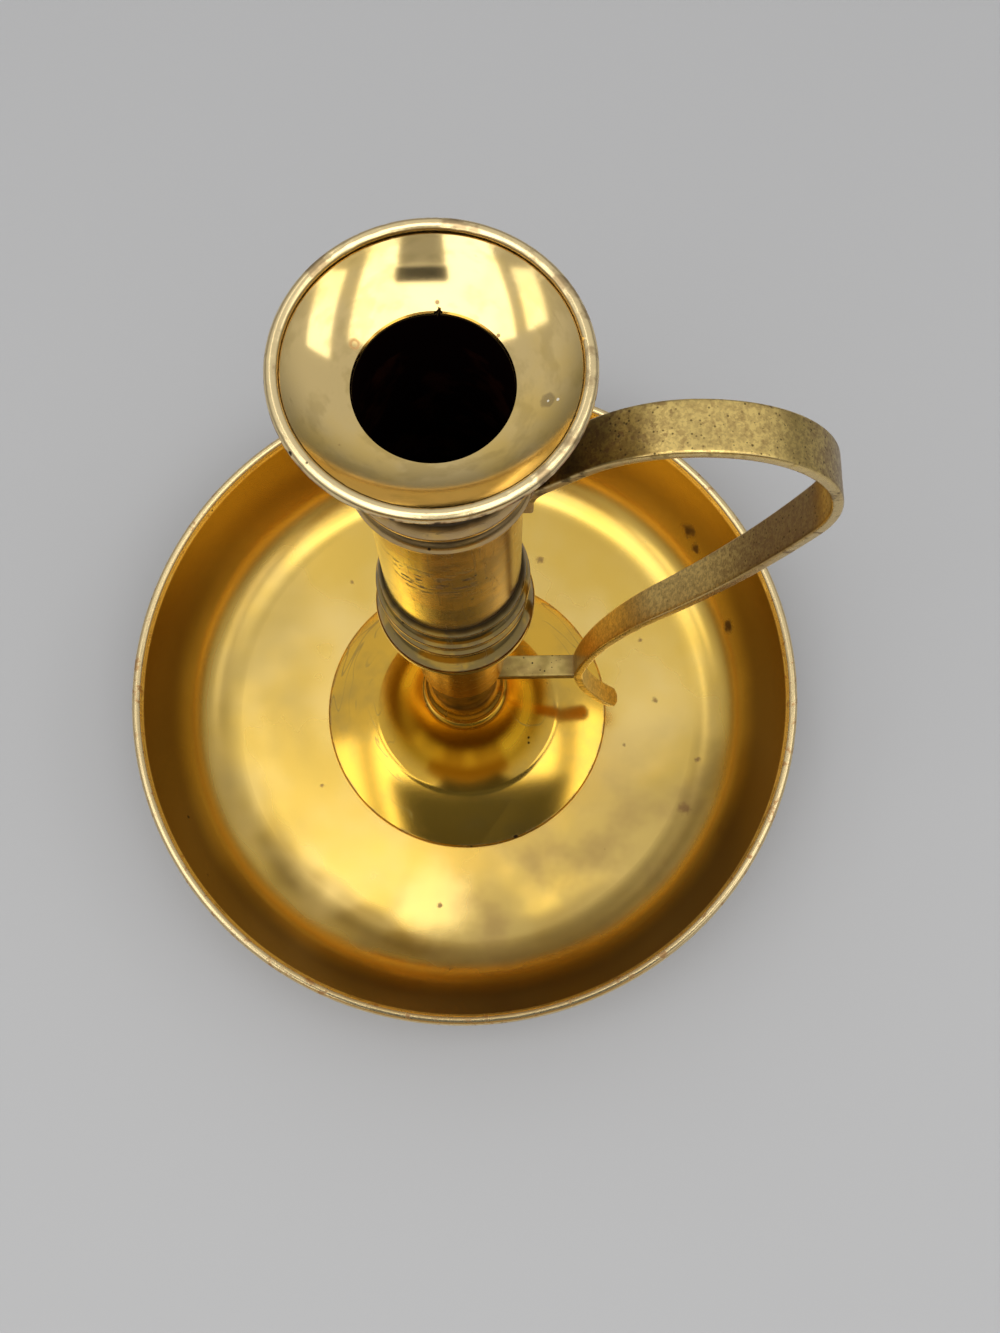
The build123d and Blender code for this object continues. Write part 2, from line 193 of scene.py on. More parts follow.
class ChamberstickStem(bpy.types.PropertyGroup):
    """Sizes of the foot, the lower stem, the knop and the ring collar."""

    foot_edge: length("Foot edge", 0.0013, "Height of the upright edge of the foot")
    foot_edge_round: length("Foot edge rounding", 0.0005, "Rounding over that edge")
    foot_brim_width: length("Brim width", 0.0125, "Width of the convex brim of the foot")
    foot_brim_rise: length("Brim rise", 0.0039, "Height of the brim over the edge")
    foot_brim_crown: length("Brim crown", 0.00025, "How far the brim bulges")
    foot_throat_radius: length("Foot throat radius", 0.0086, "Least radius of the foot, over its flare")
    foot_throat_drop: length("Foot throat drop", 0.00164, "Depth of the throat under the top of the foot")
    foot_hollow: length("Foot hollow", 0.0013, "How far the flare dips below a straight cone")
    foot_wall: length("Foot wall", 0.0018, "Wall of the hollow foot")
    foot_land: length("Foot land", 0.0034, "Width of the ring that stands on the pan")
    foot_top_wall: length("Foot top wall", 0.0026, "Thickness of the top of the foot")
    foot_neck_radius: length("Foot neck radius", 0.0096, "Radius of the top of the foot")
    base_bead_height: length("Base bead height", 0.003, "Height of the lower ring")
    base_bead_crown: length("Base bead crown", 0.0007, "How far the lower ring bulges")
    stem_bead_radius: length("Stem bead radius", 0.0095, "Radius of the upper ring")
    stem_bead_height: length("Stem bead height", 0.0036, "Height of the upper ring")
    stem_bead_crown: length("Stem bead crown", 0.0009, "How far the upper ring bulges")
    waist_radius: length("Waist radius", 0.0074, "Radius of the waist")
    waist_cove_height: length("Cove height", 0.0045, "Height of the cove under the waist")
    waist_length: length("Waist length", 0.0135, "Length of the straight waist")
    waist_flare_height: length("Waist flare height", 0.0032, "Height of the flare over the waist")
    waist_flare_radius: length("Waist flare radius", 0.0083, "Radius of the top of that flare")
    collar_bottom_radius: length("Collar bottom radius", 0.0093, "Radius of the foot of the long collar")
    collar_top_radius: length("Collar top radius", 0.0097, "Radius of the top of the long collar")
    knop_bottom_radius: length("Knop bottom radius", 0.0099, "Radius of the knop's lower edge")
    knop_top_radius: length("Knop top radius", 0.0125, "Radius of the knop's upper edge")
    knop_crest_height: length("Knop crest height", 0.0056, "Height of the knop's widest line")
    groove_radius: length("Groove radius", 0.0126, "Radius of the grooves of the ring collar")
    ring_height: length("Ring height", 0.0052, "Height of the two lower rings of the collar")
    ring_inset: length("Ring inset", 0.0002, "How far the lowest ring stands back")
    top_ring_height: length("Top ring height", 0.0036, "Height of the top ring")
    top_ring_inset: length("Top ring inset", 0.0008, "How far the top ring stands back")
    thread_radius: length("Thread radius", 0.00305, "Radius of the tapped hole for the tie rod")
    thread_depth: length("Thread depth", 0.011, "Depth of that hole over the knop")


class ChamberstickSocket(bpy.types.PropertyGroup):
    """Sizes of the tube, the neck collar and the nozzle."""

    candle_bore_radius: length("Candle bore radius", 0.011, "Radius of the hole for the candle")
    seat_gap: length("Seat gap", 0.00005, "Clearance between seated pieces")
    tube_foot_recess: length("Tube foot recess", 0.0004, "How much wider the foot of the tube is bored")
    plug_height: length("Plug height", 0.01, "Height of the plug in the foot of the tube")
    neck_groove_radius: length("Neck groove radius", 0.0136, "Radius of the neck collar's groove")
    neck_ring_radius: length("Neck ring radius", 0.0147, "Radius of the neck collar's rings")
    neck_lower_height: length("Lower ring height", 0.0034, "Height of the neck collar's lower ring")
    neck_groove_height: length("Neck groove height", 0.0012, "Height of the groove")
    neck_upper_height: length("Upper ring height", 0.0056, "Height of the neck collar's upper ring")
    nozzle_skirt_radius: length("Skirt radius", 0.0134, "Radius of the foot of the nozzle")
    lip_bead_radius: length("Lip bead radius", 0.00105, "Radius of the rolled lip")
    lip_blend: angle("Lip blend", 8.0, "How early the bead gives way to the funnel")
    funnel_depth: length("Funnel depth", 0.0067, "Depth of the funnel")
    funnel_sag: length("Funnel sag", 0.0005, "How far the funnel dips below a straight cone")
    notch_width: length("Notch width", 0.001, "Width of the nick in the edge of the bore")
    notch_depth: length("Notch depth", 0.0007, "Depth of that nick")
    notch_angle: angle("Notch angle", 86.0, "Where the nick is, from the handle's side")
    bore_edge: length("Bore edge", 0.0002, "Rounding of the edge of the bore")
    bore_land: length("Bore land", 0.002, "Depth of the upright edge under the funnel")


class ChamberstickHandle(bpy.types.PropertyGroup):
    """Sizes of the strap and the stay."""

    thickness: length("Thickness", 0.002, "Thickness of the strap")
    root_width: length("Root width", 0.0068, "Width where the strap leaves the tube")
    crown_width: length("Crown width", 0.0086, "Width over the finger")
    run_width: length("Run width", 0.007, "Width in the middle of the return run")
    stay_width: length("Stay width", 0.005, "Width at the stay, and of the stay")
    tip_width: length("Tip width", 0.0046, "Width of the end")
    tip_corner: length("Tip corner", 0.0013, "Rounding of the end's corners")
    edge_round: length("Edge rounding", 0.00045, "Rounding of the strap's long edges")
    root_foot: length("Root foot", 0.0025, "Straight length at the root")
    root_radius: length("Root bend", 0.0084, "Radius of the bend at the root")
    root_angle: angle("Root angle", 41.1, "Turn of the bend at the root")
    rise: length("Rise", 0.009, "Straight length up to the crown")
    crown_radius: length("Crown bend", 0.0199, "Radius of the bend up to the top")
    bow_radius: length("Bow bend", 0.0238, "Radius of the bend round the finger")
    bow_overturn: angle("Bow overturn", 17.9, "How far the bow turns past straight down")
    run_radius: length("Run bend", 0.238, "Radius of the slow bend down the return run")
    run_angle: angle("Run angle", 12.2, "Turn of that bend")
    lower_radius: length("Lower bend", 0.106, "Radius of the bend down to the stay")
    lower_angle: angle("Lower angle", 25.9, "Turn of that bend")
    stay_radius: length("Stay bend", 0.0166, "Radius of the bend at the stay")
    stay_angle: angle("Stay angle", 10.1, "Turn of that bend")
    curl_radius: length("Curl bend", 0.066, "Radius of the curl")
    curl_angle: angle("Curl angle", 27.1, "Turn of the curl")
    station: length("Station", 0.0012, "Longest step between cross sections")
    root_level: length("Root level", 0.144, "Height of the root's lower end")
    crown_reach: length("Crown reach", 0.037, "Where the strap reaches its full width")
    run_level: length("Run level", 0.0878, "Height of the middle of the return run")
    stay_edge: length("Stay edge rounding", 0.0003, "Rounding of the stay's long edges")


class ChamberstickFinish(bpy.types.PropertyGroup):
    """Colours of the brass, of what has settled on it, and of painted reflections, highlights, sheen and
    shade.
    """

    warm_brass: colour("Warm brass", (0.86, 0.57, 0.11), "Clean brass of the pan and the tube")
    # Painted reflection: the brown of the bowl reflected in the pan's wall
    painted_wall_reflection: colour("Wall brass", (0.16, 0.080, 0.008), "Brown brass under the rim of the pan")
    # Painted shade in the front of the pan's bend
    shade_brass: colour("Shaded brass", (0.20, 0.11, 0.020), "Brown band in the bend of the pan")
    cloud_brass: colour("Cloudy brass", (0.87, 0.63, 0.21), "Paler clouds on the floor of the pan")
    deep_brass: colour("Deep brass", (0.86, 0.51, 0.065), "Golden brass of the foot")
    pale_brass: colour("Pale brass", (0.82, 0.61, 0.26), "Pale brass of the mouth and of rubbed edges")
    worn_brass: colour("Worn brass", (0.41, 0.29, 0.085), "Dull brass of the handle")
    bronze: colour("Bronze", (0.58, 0.39, 0.17), "Brown brass of the neck collar")
    olive_brass: colour("Olive brass", (0.31, 0.215, 0.072), "Dark brass of the stem")
    # A painted sheen over the strap's finger and return run, and mottling on the stay
    strap_gold: colour("Strap gold", (0.90, 0.66, 0.22), "Brighter brass over the finger")
    tarnish: colour("Tarnish", (0.28, 0.21, 0.11), "Grey-brown tarnish")
    rubbed_brass: colour("Rubbed brass", (0.95, 0.75, 0.40), "Lip and other edges that hands rub")
    # The stem's own amber, and a painted reflection of the pan's wall in the foot's hollow and along its
    # bottom edge
    amber_brass_and_reflection: colour("Amber brass", (0.62, 0.32, 0.014), "Brown lacquer in the hollow of the foot")
    # A painted highlight: the bright ring in the foot's hollow
    highlight_ring_brass: colour("Glowing brass", (1.0, 0.57, 0.020), "Ring in the hollow where the lacquer is thin")
    # A painted highlight on the front left of the tube
    painted_highlight_yellow: colour("Yellow brass", (0.93, 0.76, 0.11), "Bright side of the tube")
    stain: colour("Stain", (0.22, 0.12, 0.05), "Brown stains")
    grime: colour("Grime", (0.035, 0.022, 0.010), "Dirt in pits and grooves")
    rust: colour("Edge rust", (0.45, 0.20, 0.06), "Reddish brown along the rims")
    bloom: colour("Bloom", (0.75, 0.72, 0.62), "Whitish dots")
    soot: colour("Soot", (0.007, 0.002, 0.002), "Inside of the candle socket")
    char: colour("Char", (0.05, 0.012, 0.006), "Reddish patches in the soot")
    steel: colour("Steel", (0.42, 0.41, 0.39), "Rod, washer and nut")
    dark_steel: colour("Dark steel", (0.20, 0.19, 0.18), "Darker patches of the steel")
    pale_steel: colour("Pale steel", (0.62, 0.61, 0.59), "Scratches in the steel")
    steel_rust: colour("Steel rust", (0.20, 0.09, 0.04), "Rust on the steel")


class ChamberstickStage(bpy.types.PropertyGroup):
    """The camera, the lamps and the floor."""

    focal: bpy.props.FloatProperty(
        name="Lens", default=39.16, description="Focal length in mm", min=1.0, unit="CAMERA"
    )
    pitch: angle("Pitch", 74.3072, "How steeply the camera looks down")
    roll: angle("Roll", 0.7629, "Turn of the camera about its own axis")
    camera_x: coordinate("Camera X", 0.0084216, "How far to the right the camera stands")
    camera_y: coordinate("Camera Y", -0.0886582, "How far back the camera stands, in front of the object")
    camera_z: coordinate("Camera Z", 0.3573574, "How high the camera stands")
    near: length("Near limit", 0.01, "Nothing nearer than this is seen")
    far: length("Far limit", 100.0, "Nothing farther than this is seen")
    sky: colour("Surroundings", (0.60, 0.60, 0.61), "Light grey round the object")
    dusk: colour("Dusk", (0.20, 0.20, 0.20), "Darker grey along the horizon")
    dusk_start: angle("Dusk start", 2.0, "Up to this height the surroundings are dark")
    dusk_end: angle("Dusk end", 32.0, "Over this height they are light")
    floor: colour("Floor", (0.443, 0.443, 0.443), "Paint of the floor")
    floor_radius: length("Floor radius", 3.0, "Radius of the floor")
    front: bpy.props.FloatProperty(
        name="Front lamps", default=1.8, description="Radiance of the front lamps", min=0.0
    )
    side: bpy.props.FloatProperty(
        name="Side lamps", default=1.5, description="Radiance of the side lamps", min=0.0
    )


class Chamberstick(bpy.types.PropertyGroup):
    """All the settings of the chamberstick."""

    pan: bpy.props.PointerProperty(type=ChamberstickPan)
    stem: bpy.props.PointerProperty(type=ChamberstickStem)
    socket: bpy.props.PointerProperty(type=ChamberstickSocket)
    handle: bpy.props.PointerProperty(type=ChamberstickHandle)
    finish: bpy.props.PointerProperty(type=ChamberstickFinish)
    stage: bpy.props.PointerProperty(type=ChamberstickStage)


class Outline:
    """A wire in the XZ plane, drawn from point to point, that is then turned about the Z axis."""

    def __init__(self, r, z):
        self.mesh = bmesh.new()
        self.first = self.tip = self.mesh.verts.new((r, 0.0, z))

    def line(self, r, z, steps=1):
        """Goes straight to a point."""
        start, end = self.tip.co.copy(), Vector((r, 0.0, z))
        for step in range(1, steps + 1):
            self.tip = bmesh.ops.extrude_vert_indiv(self.mesh, verts=[self.tip])["verts"][0]
            self.tip.co = start.lerp(end, step / steps)
        return self

    def arc(self, r, z, turn, steps):
        """Goes round a centre. A positive turn goes from +X towards +Z."""
        made = bmesh.ops.spin(
            self.mesh, geom=[self.tip], cent=(r, 0.0, z), axis=(0, 1, 0), angle=-turn, steps=steps
        )
        self.tip = next(g for g in made["geom_last"] if isinstance(g, bmesh.types.BMVert))
        return self

    def through(self, middle, end, steps):
        """Goes round the arc through a middle point to an end point."""
        a, b, c = self.tip.co.xz, Vector(middle), Vector(end)
        ab, ac = b - a, c - a
        twice_area = 2 * (ab.x * ac.y - ab.y * ac.x)
        centre = a + Vector((
            (ac.y * ab.length_squared - ab.y * ac.length_squared) / twice_area,
            (ab.x * ac.length_squared - ac.x * ab.length_squared) / twice_area,
        ))
        start_angle = atan2(a.y - centre.y, a.x - centre.x)
        turn = atan2(c.y - centre.y, c.x - centre.x) - start_angle
        turn %= 2 * pi
        if twice_area < 0:
            turn -= 2 * pi
        return self.arc(centre.x, centre.y, turn, steps)

    def corner(self, corner, after, radius, steps=10):
        """Goes towards a corner and round it, onto the line from the corner to the point after it."""
        here, corner, after = self.tip.co.xz, Vector(corner), Vector(after)
        inward, onward = (corner - here).normalized(), (after - corner).normalized()
        cross = inward.x * onward.y - inward.y * onward.x
        turn = atan2(cross, inward.dot(onward))
        start = corner - inward * radius * tan(abs(turn) / 2)
        side = Vector((-inward.y, inward.x)) * (1 if turn > 0 else -1)
        centre = start + side * radius
        self.line(start.x, start.y)
        return self.arc(centre.x, centre.y, turn, steps)

    def close(self):
        """Joins the last point to the first."""
        self.mesh.edges.new((self.tip, self.first))
        return self

    def turned(self):
        """Turns the wire once about the Z axis, sector by sector, and returns the closed mesh."""
        wire = self.mesh.verts[:] + self.mesh.edges[:]
        bmesh.ops.spin(
            self.mesh, geom=wire, cent=(0, 0, 0), axis=(0, 0, 1), angle=SECTOR_ANGLE, steps=SECTOR_STEPS
        )
        sector = self.mesh.verts[:] + self.mesh.edges[:] + self.mesh.faces[:]
        for number in range(1, SECTORS):
            copy = bmesh.ops.duplicate(self.mesh, geom=sector)["geom"]
            verts = [g for g in copy if isinstance(g, bmesh.types.BMVert)]
            swing = Matrix.Rotation(number * SECTOR_ANGLE, 3, "Z")
            bmesh.ops.rotate(self.mesh, cent=(0, 0, 0), matrix=swing, verts=verts)
        bmesh.ops.remove_doubles(self.mesh, verts=self.mesh.verts[:], dist=MICRON / 10)
        bmesh.ops.recalc_face_normals(self.mesh, faces=self.mesh.faces[:])
        return self.mesh


def linked(name, data):
    """A new object in the scene."""
    made = bpy.data.objects.new(name, data)
    bpy.context.scene.collection.objects.link(made)
    return made


def mesh_data(name, mesh, material):
    """Turns a bmesh into mesh data with one material, and frees the bmesh."""
    data = bpy.data.meshes.new(name)
    mesh.to_mesh(data)
    mesh.free()
    data.materials.append(material)
    return data


def piece(name, mesh, node, material):
    """Makes a finished piece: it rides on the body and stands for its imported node."""
    data = mesh_data(name, mesh, material)
    data.shade_smooth()
    data.set_sharp_from_angle(angle=CREASE_ANGLE)
    made = linked(name, data)
    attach(made, BODY)
    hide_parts(node)


def between(start, end, shares):
    """A point between two points, at a share of the way across and a share of the way up."""
    return (start[0] + (end[0] - start[0]) * shares[0], start[1] + (end[1] - start[1]) * shares[1])


class Value:
    """What a node gives. Python's operators on it add Math nodes."""

    def __init__(self, nodes, socket):
        self.nodes, self.socket = nodes, socket

    def math(self, operation, first, second=0.0):
        """Adds one Math node."""
        return self.nodes.node("ShaderNodeMath", {"operation": operation}, {0: first, 1: second})

    def __add__(self, other):
        return self.math("ADD", self, other)

    def __radd__(self, other):
        return self.math("ADD", other, self)

    def __sub__(self, other):
        return self.math("SUBTRACT", self, other)

    def __rsub__(self, other):
        return self.math("SUBTRACT", other, self)

    def __mul__(self, other):
        return self.math("MULTIPLY", self, other)

    def __rmul__(self, other):
        return self.math("MULTIPLY", other, self)

    def __truediv__(self, other):
        return self.math("DIVIDE", self, other)

    def __pow__(self, other):
        return self.math("POWER", self, other)

    def __abs__(self):
        return self.math("ABSOLUTE", self)


class Nodes:
    """Adds nodes to a tree."""

    def __init__(self, tree):
        self.tree = tree

    def node(self, kind, settings=None, inputs=None, output=0):
        """Adds a node. Its settings come first, then the values or links of its sockets."""
        made = self.tree.nodes.new(kind)
        for name, value in (settings or {}).items():
            setattr(made, name, value)
        for name, value in (inputs or {}).items():
            self.feed(made.inputs[name], value)
        return Value(self, made.outputs[output])

    def feed(self, socket, value):
        """Gives a socket a link, a colour or a number."""
        if isinstance(value, Value):
            self.tree.links.new(value.socket, socket)
        elif isinstance(value, tuple) and len(value) == 3 and socket.type == "RGBA":
            socket.default_value = (*value, 1.0)
        else:
            socket.default_value = value

    def axis(self, vector, number):
        """One of a vector's three numbers."""
        return self.node("ShaderNodeSeparateXYZ", {}, {0: vector}, number)

    def ramp(self, value, start, end):
        """Goes smoothly from 0 at the start to 1 at the end."""
        inputs = {"Value": value, "From Min": start, "From Max": end}
        return self.node("ShaderNodeMapRange", {"interpolation_type": "SMOOTHSTEP"}, inputs)

    def band(self, value, centre, outer, inner):
        """Is 1 up to the inner distance from a centre, and 0 past the outer one."""
        return self.ramp(abs(value - centre), outer, inner)

    def mix(self, mask, under, over):
        """Goes from one colour to another where the mask rises."""
        return self.node("ShaderNodeMix", {"data_type": "RGBA"}, {0: mask, 6: under, 7: over}, 2)


class Finish(Nodes):
    """One metal finish: a colour, a roughness and a height, with patches laid over them in turn."""

    def __init__(self, name, colour, roughness):
        self.material = bpy.data.materials.new(name)
        self.material.use_nodes = True
        super().__init__(self.material.node_tree)
        self.place = self.node("ShaderNodeTexCoord", output="Object")
        self.x, self.y, self.z = (self.axis(self.place, number) for number in range(3))
        self.radius = (self.x * self.x + self.y * self.y) ** 0.5
        self.colour, self.roughness, self.height = tuple(colour), roughness, 0.0
        self.metal = 1.0

    def around(self, turns, outwards, upwards):
        """A place for patterns that run round the axis, with no seam."""
        rise = self.radius * outwards + self.z * upwards
        x, y = self.x / self.radius * turns, self.y / self.radius * turns
        return self.node("ShaderNodeCombineXYZ", {}, {0: x, 1: y, 2: rise})

    def scaled(self, x, y, z):
        """A place for patterns that are drawn out along an axis."""
        return self.node("ShaderNodeVectorMath", {"operation": "MULTIPLY"}, {0: self.place, 1: (x, y, z)})

    def noise(self, scale, at=None, detail=2.0, ragged=0.5):
        """Smooth noise, mostly near a half."""
        inputs = {"Vector": at or self.place, "Scale": scale, "Detail": detail, "Roughness": ragged}
        return self.node("ShaderNodeTexNoise", {}, inputs, "Fac")

    def strayed(self, value, scale, reach):
        """A value that noise pushes up and down, by up to half the reach."""
        return value + (self.noise(scale) - 0.5) * reach

    def patches(self, scale, start, end, at=None, detail=3.0):
        """Clouds of noise, cut off at the start and full at the end."""
        return self.ramp(self.noise(scale, at, detail, 0.55), start, end)

    def specks(self, scale, size, share):
        """Small dots, in some of the cells of a loose grid."""
        inputs = {"Vector": self.place, "Scale": scale}
        distance = self.node("ShaderNodeTexVoronoi", {}, inputs, "Distance")
        chance = self.axis(self.node("ShaderNodeTexVoronoi", {}, inputs, "Color"), 0)
        chosen = self.node("ShaderNodeMath", {"operation": "LESS_THAN"}, {0: chance, 1: share})
        width = size * (0.5 + chance / share * 0.5)
        return self.ramp(distance - width, 0.0, -size * 0.4) * chosen

    def hairlines(self, at, scale, width):
        """Fine scratches, broken into lengths."""
        line = self.band(self.noise(scale, at, 1.0), 0.5, width, width * 0.3)
        return line * self.patches(scale * 0.6, 0.45, 0.6, at, 1.0)

    def spot(self, place, radius, ragged, soft):
        """A stain at a place, with an uneven edge."""
        inputs = {0: self.place, 1: place}
        away = self.node("ShaderNodeVectorMath", {"operation": "DISTANCE"}, inputs, "Value")
        away = away + (self.noise(1.2 / radius, None, 3.0) - 0.5) * (2 * ragged * radius)
        return self.ramp(away, radius, radius * (1 - soft))

    def spots(self, marks, ragged=0.35, soft=0.4):
        """The stains of a table of places and radii."""
        (*place, radius), *rest = marks
        strongest = self.spot(place, radius, ragged, soft)
        for *place, radius in rest:
            strongest = strongest.math("MAXIMUM", strongest, self.spot(place, radius, ragged, soft))
        return strongest

    def lay(self, mask, colour=None, roughness=None, rise=0.0, metal=None):
        """Lays a patch over what is there. The rise is in microns."""
        if colour is not None:
            self.colour = self.mix(mask, self.colour, tuple(colour))
        if roughness is not None:
            self.roughness = mask * (roughness - self.roughness) + self.roughness
        if rise:
            self.height = mask * rise + self.height
        if metal is not None:
            self.metal = mask * (metal - self.metal) + self.metal

    def lathe_marks(self, fine, waves):
        """Fine lines round the axis and slow waves, in microns."""
        self.lay(self.noise(1.0, self.around(0.6, 2600, 2600)), rise=fine)
        self.lay(self.noise(1.0, self.around(0.8, 90, 90), 1.0), rise=waves)

    def made(self):
        """Joins everything to the shader and returns the material."""
        shader = self.tree.nodes["Principled BSDF"]
        self.feed(shader.inputs["Base Color"], self.colour)
        self.feed(shader.inputs["Roughness"], self.roughness)
        self.feed(shader.inputs["Metallic"], self.metal)
        bump = self.node("ShaderNodeBump", {}, {"Strength": 1.0, "Distance": MICRON, "Height": self.height})
        self.feed(shader.inputs["Normal"], bump)
        return self.material


def pan_brass(group):
    """The spun pan: a painted reflection in brown on the wall, painted shade and a painted highlight in the
    bend, a cloudy floor, a rubbed rim and a few stains.
    """
    colours, rim = group.finish, high("drip_pan")
    made = Finish("pan brass", colours.warm_brass, 0.25)
    made.lathe_marks(0.6, 80)
    made.lay(made.noise(22, None, 1.0), rise=420)

    # Painted reflection: brown on the wall. Painted shade: a darker band in the front of the bend. Painted
    # highlight: a bright streak between them
    wall = made.ramp(made.strayed(made.z, 45, 0.004), 0.0018, 0.016)
    made.lay(wall * (0.94 - made.ramp(made.y, 0.015, 0.06) * 0.3), colours.painted_wall_reflection, 0.24)
    shade = made.band(made.strayed(made.radius, 40, 0.008), SHADE_RADIUS, 0.0062, 0.0016)
    made.lay(shade * made.ramp(made.y, -0.012, -0.042) * 0.85, colours.shade_brass, 0.3)
    painted_streak = made.band(made.radius, HIGHLIGHT_STREAK_RADIUS, 0.0016, 0.0004) * made.ramp(made.y, -0.050, -0.058)
    broken = made.patches(1.0, 0.35, 0.6, made.around(7, 0, 0), 1.0)
    made.lay(painted_streak * broken * 0.8, colours.deep_brass, 0.16)

    # Pale clouds all over the floor, painted shade in front of the handle, and duller clouds on the left
    on_floor = made.ramp(made.z, 0.006, 0.0025)
    made.lay(made.patches(34, 0.35, 0.72) * on_floor, colours.cloud_brass, 0.3)
    front_shade = made.ramp(made.x * 0.5 - made.y * 0.87, 0.020, 0.048) * on_floor
    made.lay(made.patches(38, 0.2, 0.55) * front_shade * 0.9, colours.worn_brass, 0.32)
    made.lay(made.patches(70, 0.45, 0.75) * front_shade * 0.4, colours.stain, 0.36)
    left = made.ramp(made.x, -0.034, -0.048) * on_floor
    made.lay(made.patches(30, 0.3, 0.62) * left * 0.6, colours.worn_brass, 0.33)
    made.lay(made.spots(PAN_POLISHED, 0.6, 0.8) * 0.6, colours.cloud_brass, 0.17)

    # Stains, specks and whitish dots
    stains = made.spots(PAN_STAINS, 0.7, 0.8)
    made.lay(stains * 0.8, colours.stain, 0.4)
    made.lay(stains * made.ramp(made.z, 0.005, 0.008) * 0.6, colours.grime, 0.5)
    made.lay(made.specks(150, 0.09, 0.16) * 0.8, colours.grime, 0.5, rise=-6)
    made.lay(made.spots(PAN_DOTS) * 0.7, colours.bloom, 0.6, metal=0.3)

    # The rim is rubbed bright, with reddish patches and pits
    on_rim = made.ramp(made.z, rim.z - 0.0024, rim.z - 0.0019)
    made.lay(on_rim * 0.8, colours.rubbed_brass, 0.28)
    made.lay(on_rim * made.patches(420, 0.58, 0.68) * 0.7, colours.rust, 0.45, rise=-8)
    made.lay(on_rim * made.specks(520, 0.16, 0.14), colours.grime, 0.5, rise=-10)

    # Tarnish on the outside, and tarnish and scratches underneath
    outside = made.ramp(made.radius - made.z * WALL_LEAN, rim.x - 0.0131, rim.x - 0.0127)
    made.lay(outside * made.patches(45, 0.4, 0.7) * 0.6, colours.tarnish, 0.38)
    under = made.ramp(made.z, 0.0009, 0.0004)
    made.lay(under * made.patches(50, 0.3, 0.6), colours.tarnish, 0.45)
    made.lay(under * made.hairlines(made.place, 130, 0.02), colours.worn_brass, 0.5, rise=-4)
    return made.made()


def foot_brass(group):
    """The foot: mirror bright on its brim, with painted amber reflections in its hollow and along its bottom
    edge, a painted highlight ring, and a dark line round its edge.
    """
    colours, base, edge = group.finish, low("stem_foot").z, high("stem_foot").x
    made = Finish("foot brass", colours.deep_brass, 0.17)
    made.lathe_marks(0.35, 14)
    made.lay(made.noise(60, None, 1.0), rise=45)
    made.lay(made.patches(80, 0.45, 0.75) * 0.45, colours.worn_brass, 0.2)
    # Painted reflection of the pan's wall: amber over the hollow
    made.lay(made.ramp(made.radius, AMBER_REFLECTION_RADIUS, AMBER_REFLECTION_RADIUS - 0.0040) * 0.9, colours.amber_brass_and_reflection, 0.18)
    # Painted highlight: a bright ring in the hollow, uneven round the axis
    glow = made.band(made.radius, HIGHLIGHT_RING_RADIUS, 0.0031, 0.0003)
    uneven = 0.35 + made.patches(1.0, 0.35, 0.6, made.around(1.6, 0, 0), 1.0) * 0.55
    made.lay(glow * uneven, colours.highlight_ring_brass, 0.3, metal=0.65)
    made.lay(made.hairlines(made.around(1.6, 520, 520), 1.0, 0.014) * 0.6, colours.worn_brass, 0.3, rise=-0.8)
    line = made.ramp(made.radius, edge - 0.0009, edge - 0.0003)
    made.lay(line * made.patches(300, 0.35, 0.6) * 0.6, colours.tarnish, 0.35)
    # Painted reflection: amber along the bottom edge
    made.lay(made.ramp(made.z, base + 0.0011, base + 0.0006), colours.amber_brass_and_reflection, 0.35)
    made.lay(made.specks(210, 0.1, 0.2), colours.grime, 0.5, rise=-5)
    made.lay(made.spots(FOOT_MARKS), colours.grime, 0.5)
    return made.made()


def dark_brass(group, name, open_brass, roughness, wear, groove, reach):
    """Old turned brass: brown in the open, black in grooves that reach out from a radius."""
    colours = group.finish
    made = Finish(name, open_brass, roughness)
    made.lathe_marks(0.6, 12)
    made.lay(made.patches(70, 0.35, 0.65) * wear, colours.worn_brass, 0.15)
    made.lay(made.patches(160, 0.5, 0.62) * wear, colours.deep_brass, 0.12)
    made.lay(made.patches(230, 0.45, 0.62) * (wear * 0.6), colours.tarnish, 0.3, rise=3)
    made.lay(made.hairlines(made.around(2.5, 1500, 1500), 1.0, 0.012) * 0.6, colours.tarnish, 0.35, rise=-1)
    made.lay(made.specks(420, 0.16, 0.3), colours.grime, 0.5, rise=-10)
    in_groove = made.ramp(made.strayed(made.radius, 300, 0.0006), groove + reach, groove)
    made.lay(in_groove * 0.92, colours.grime, 0.55, rise=5)
    return made.made()


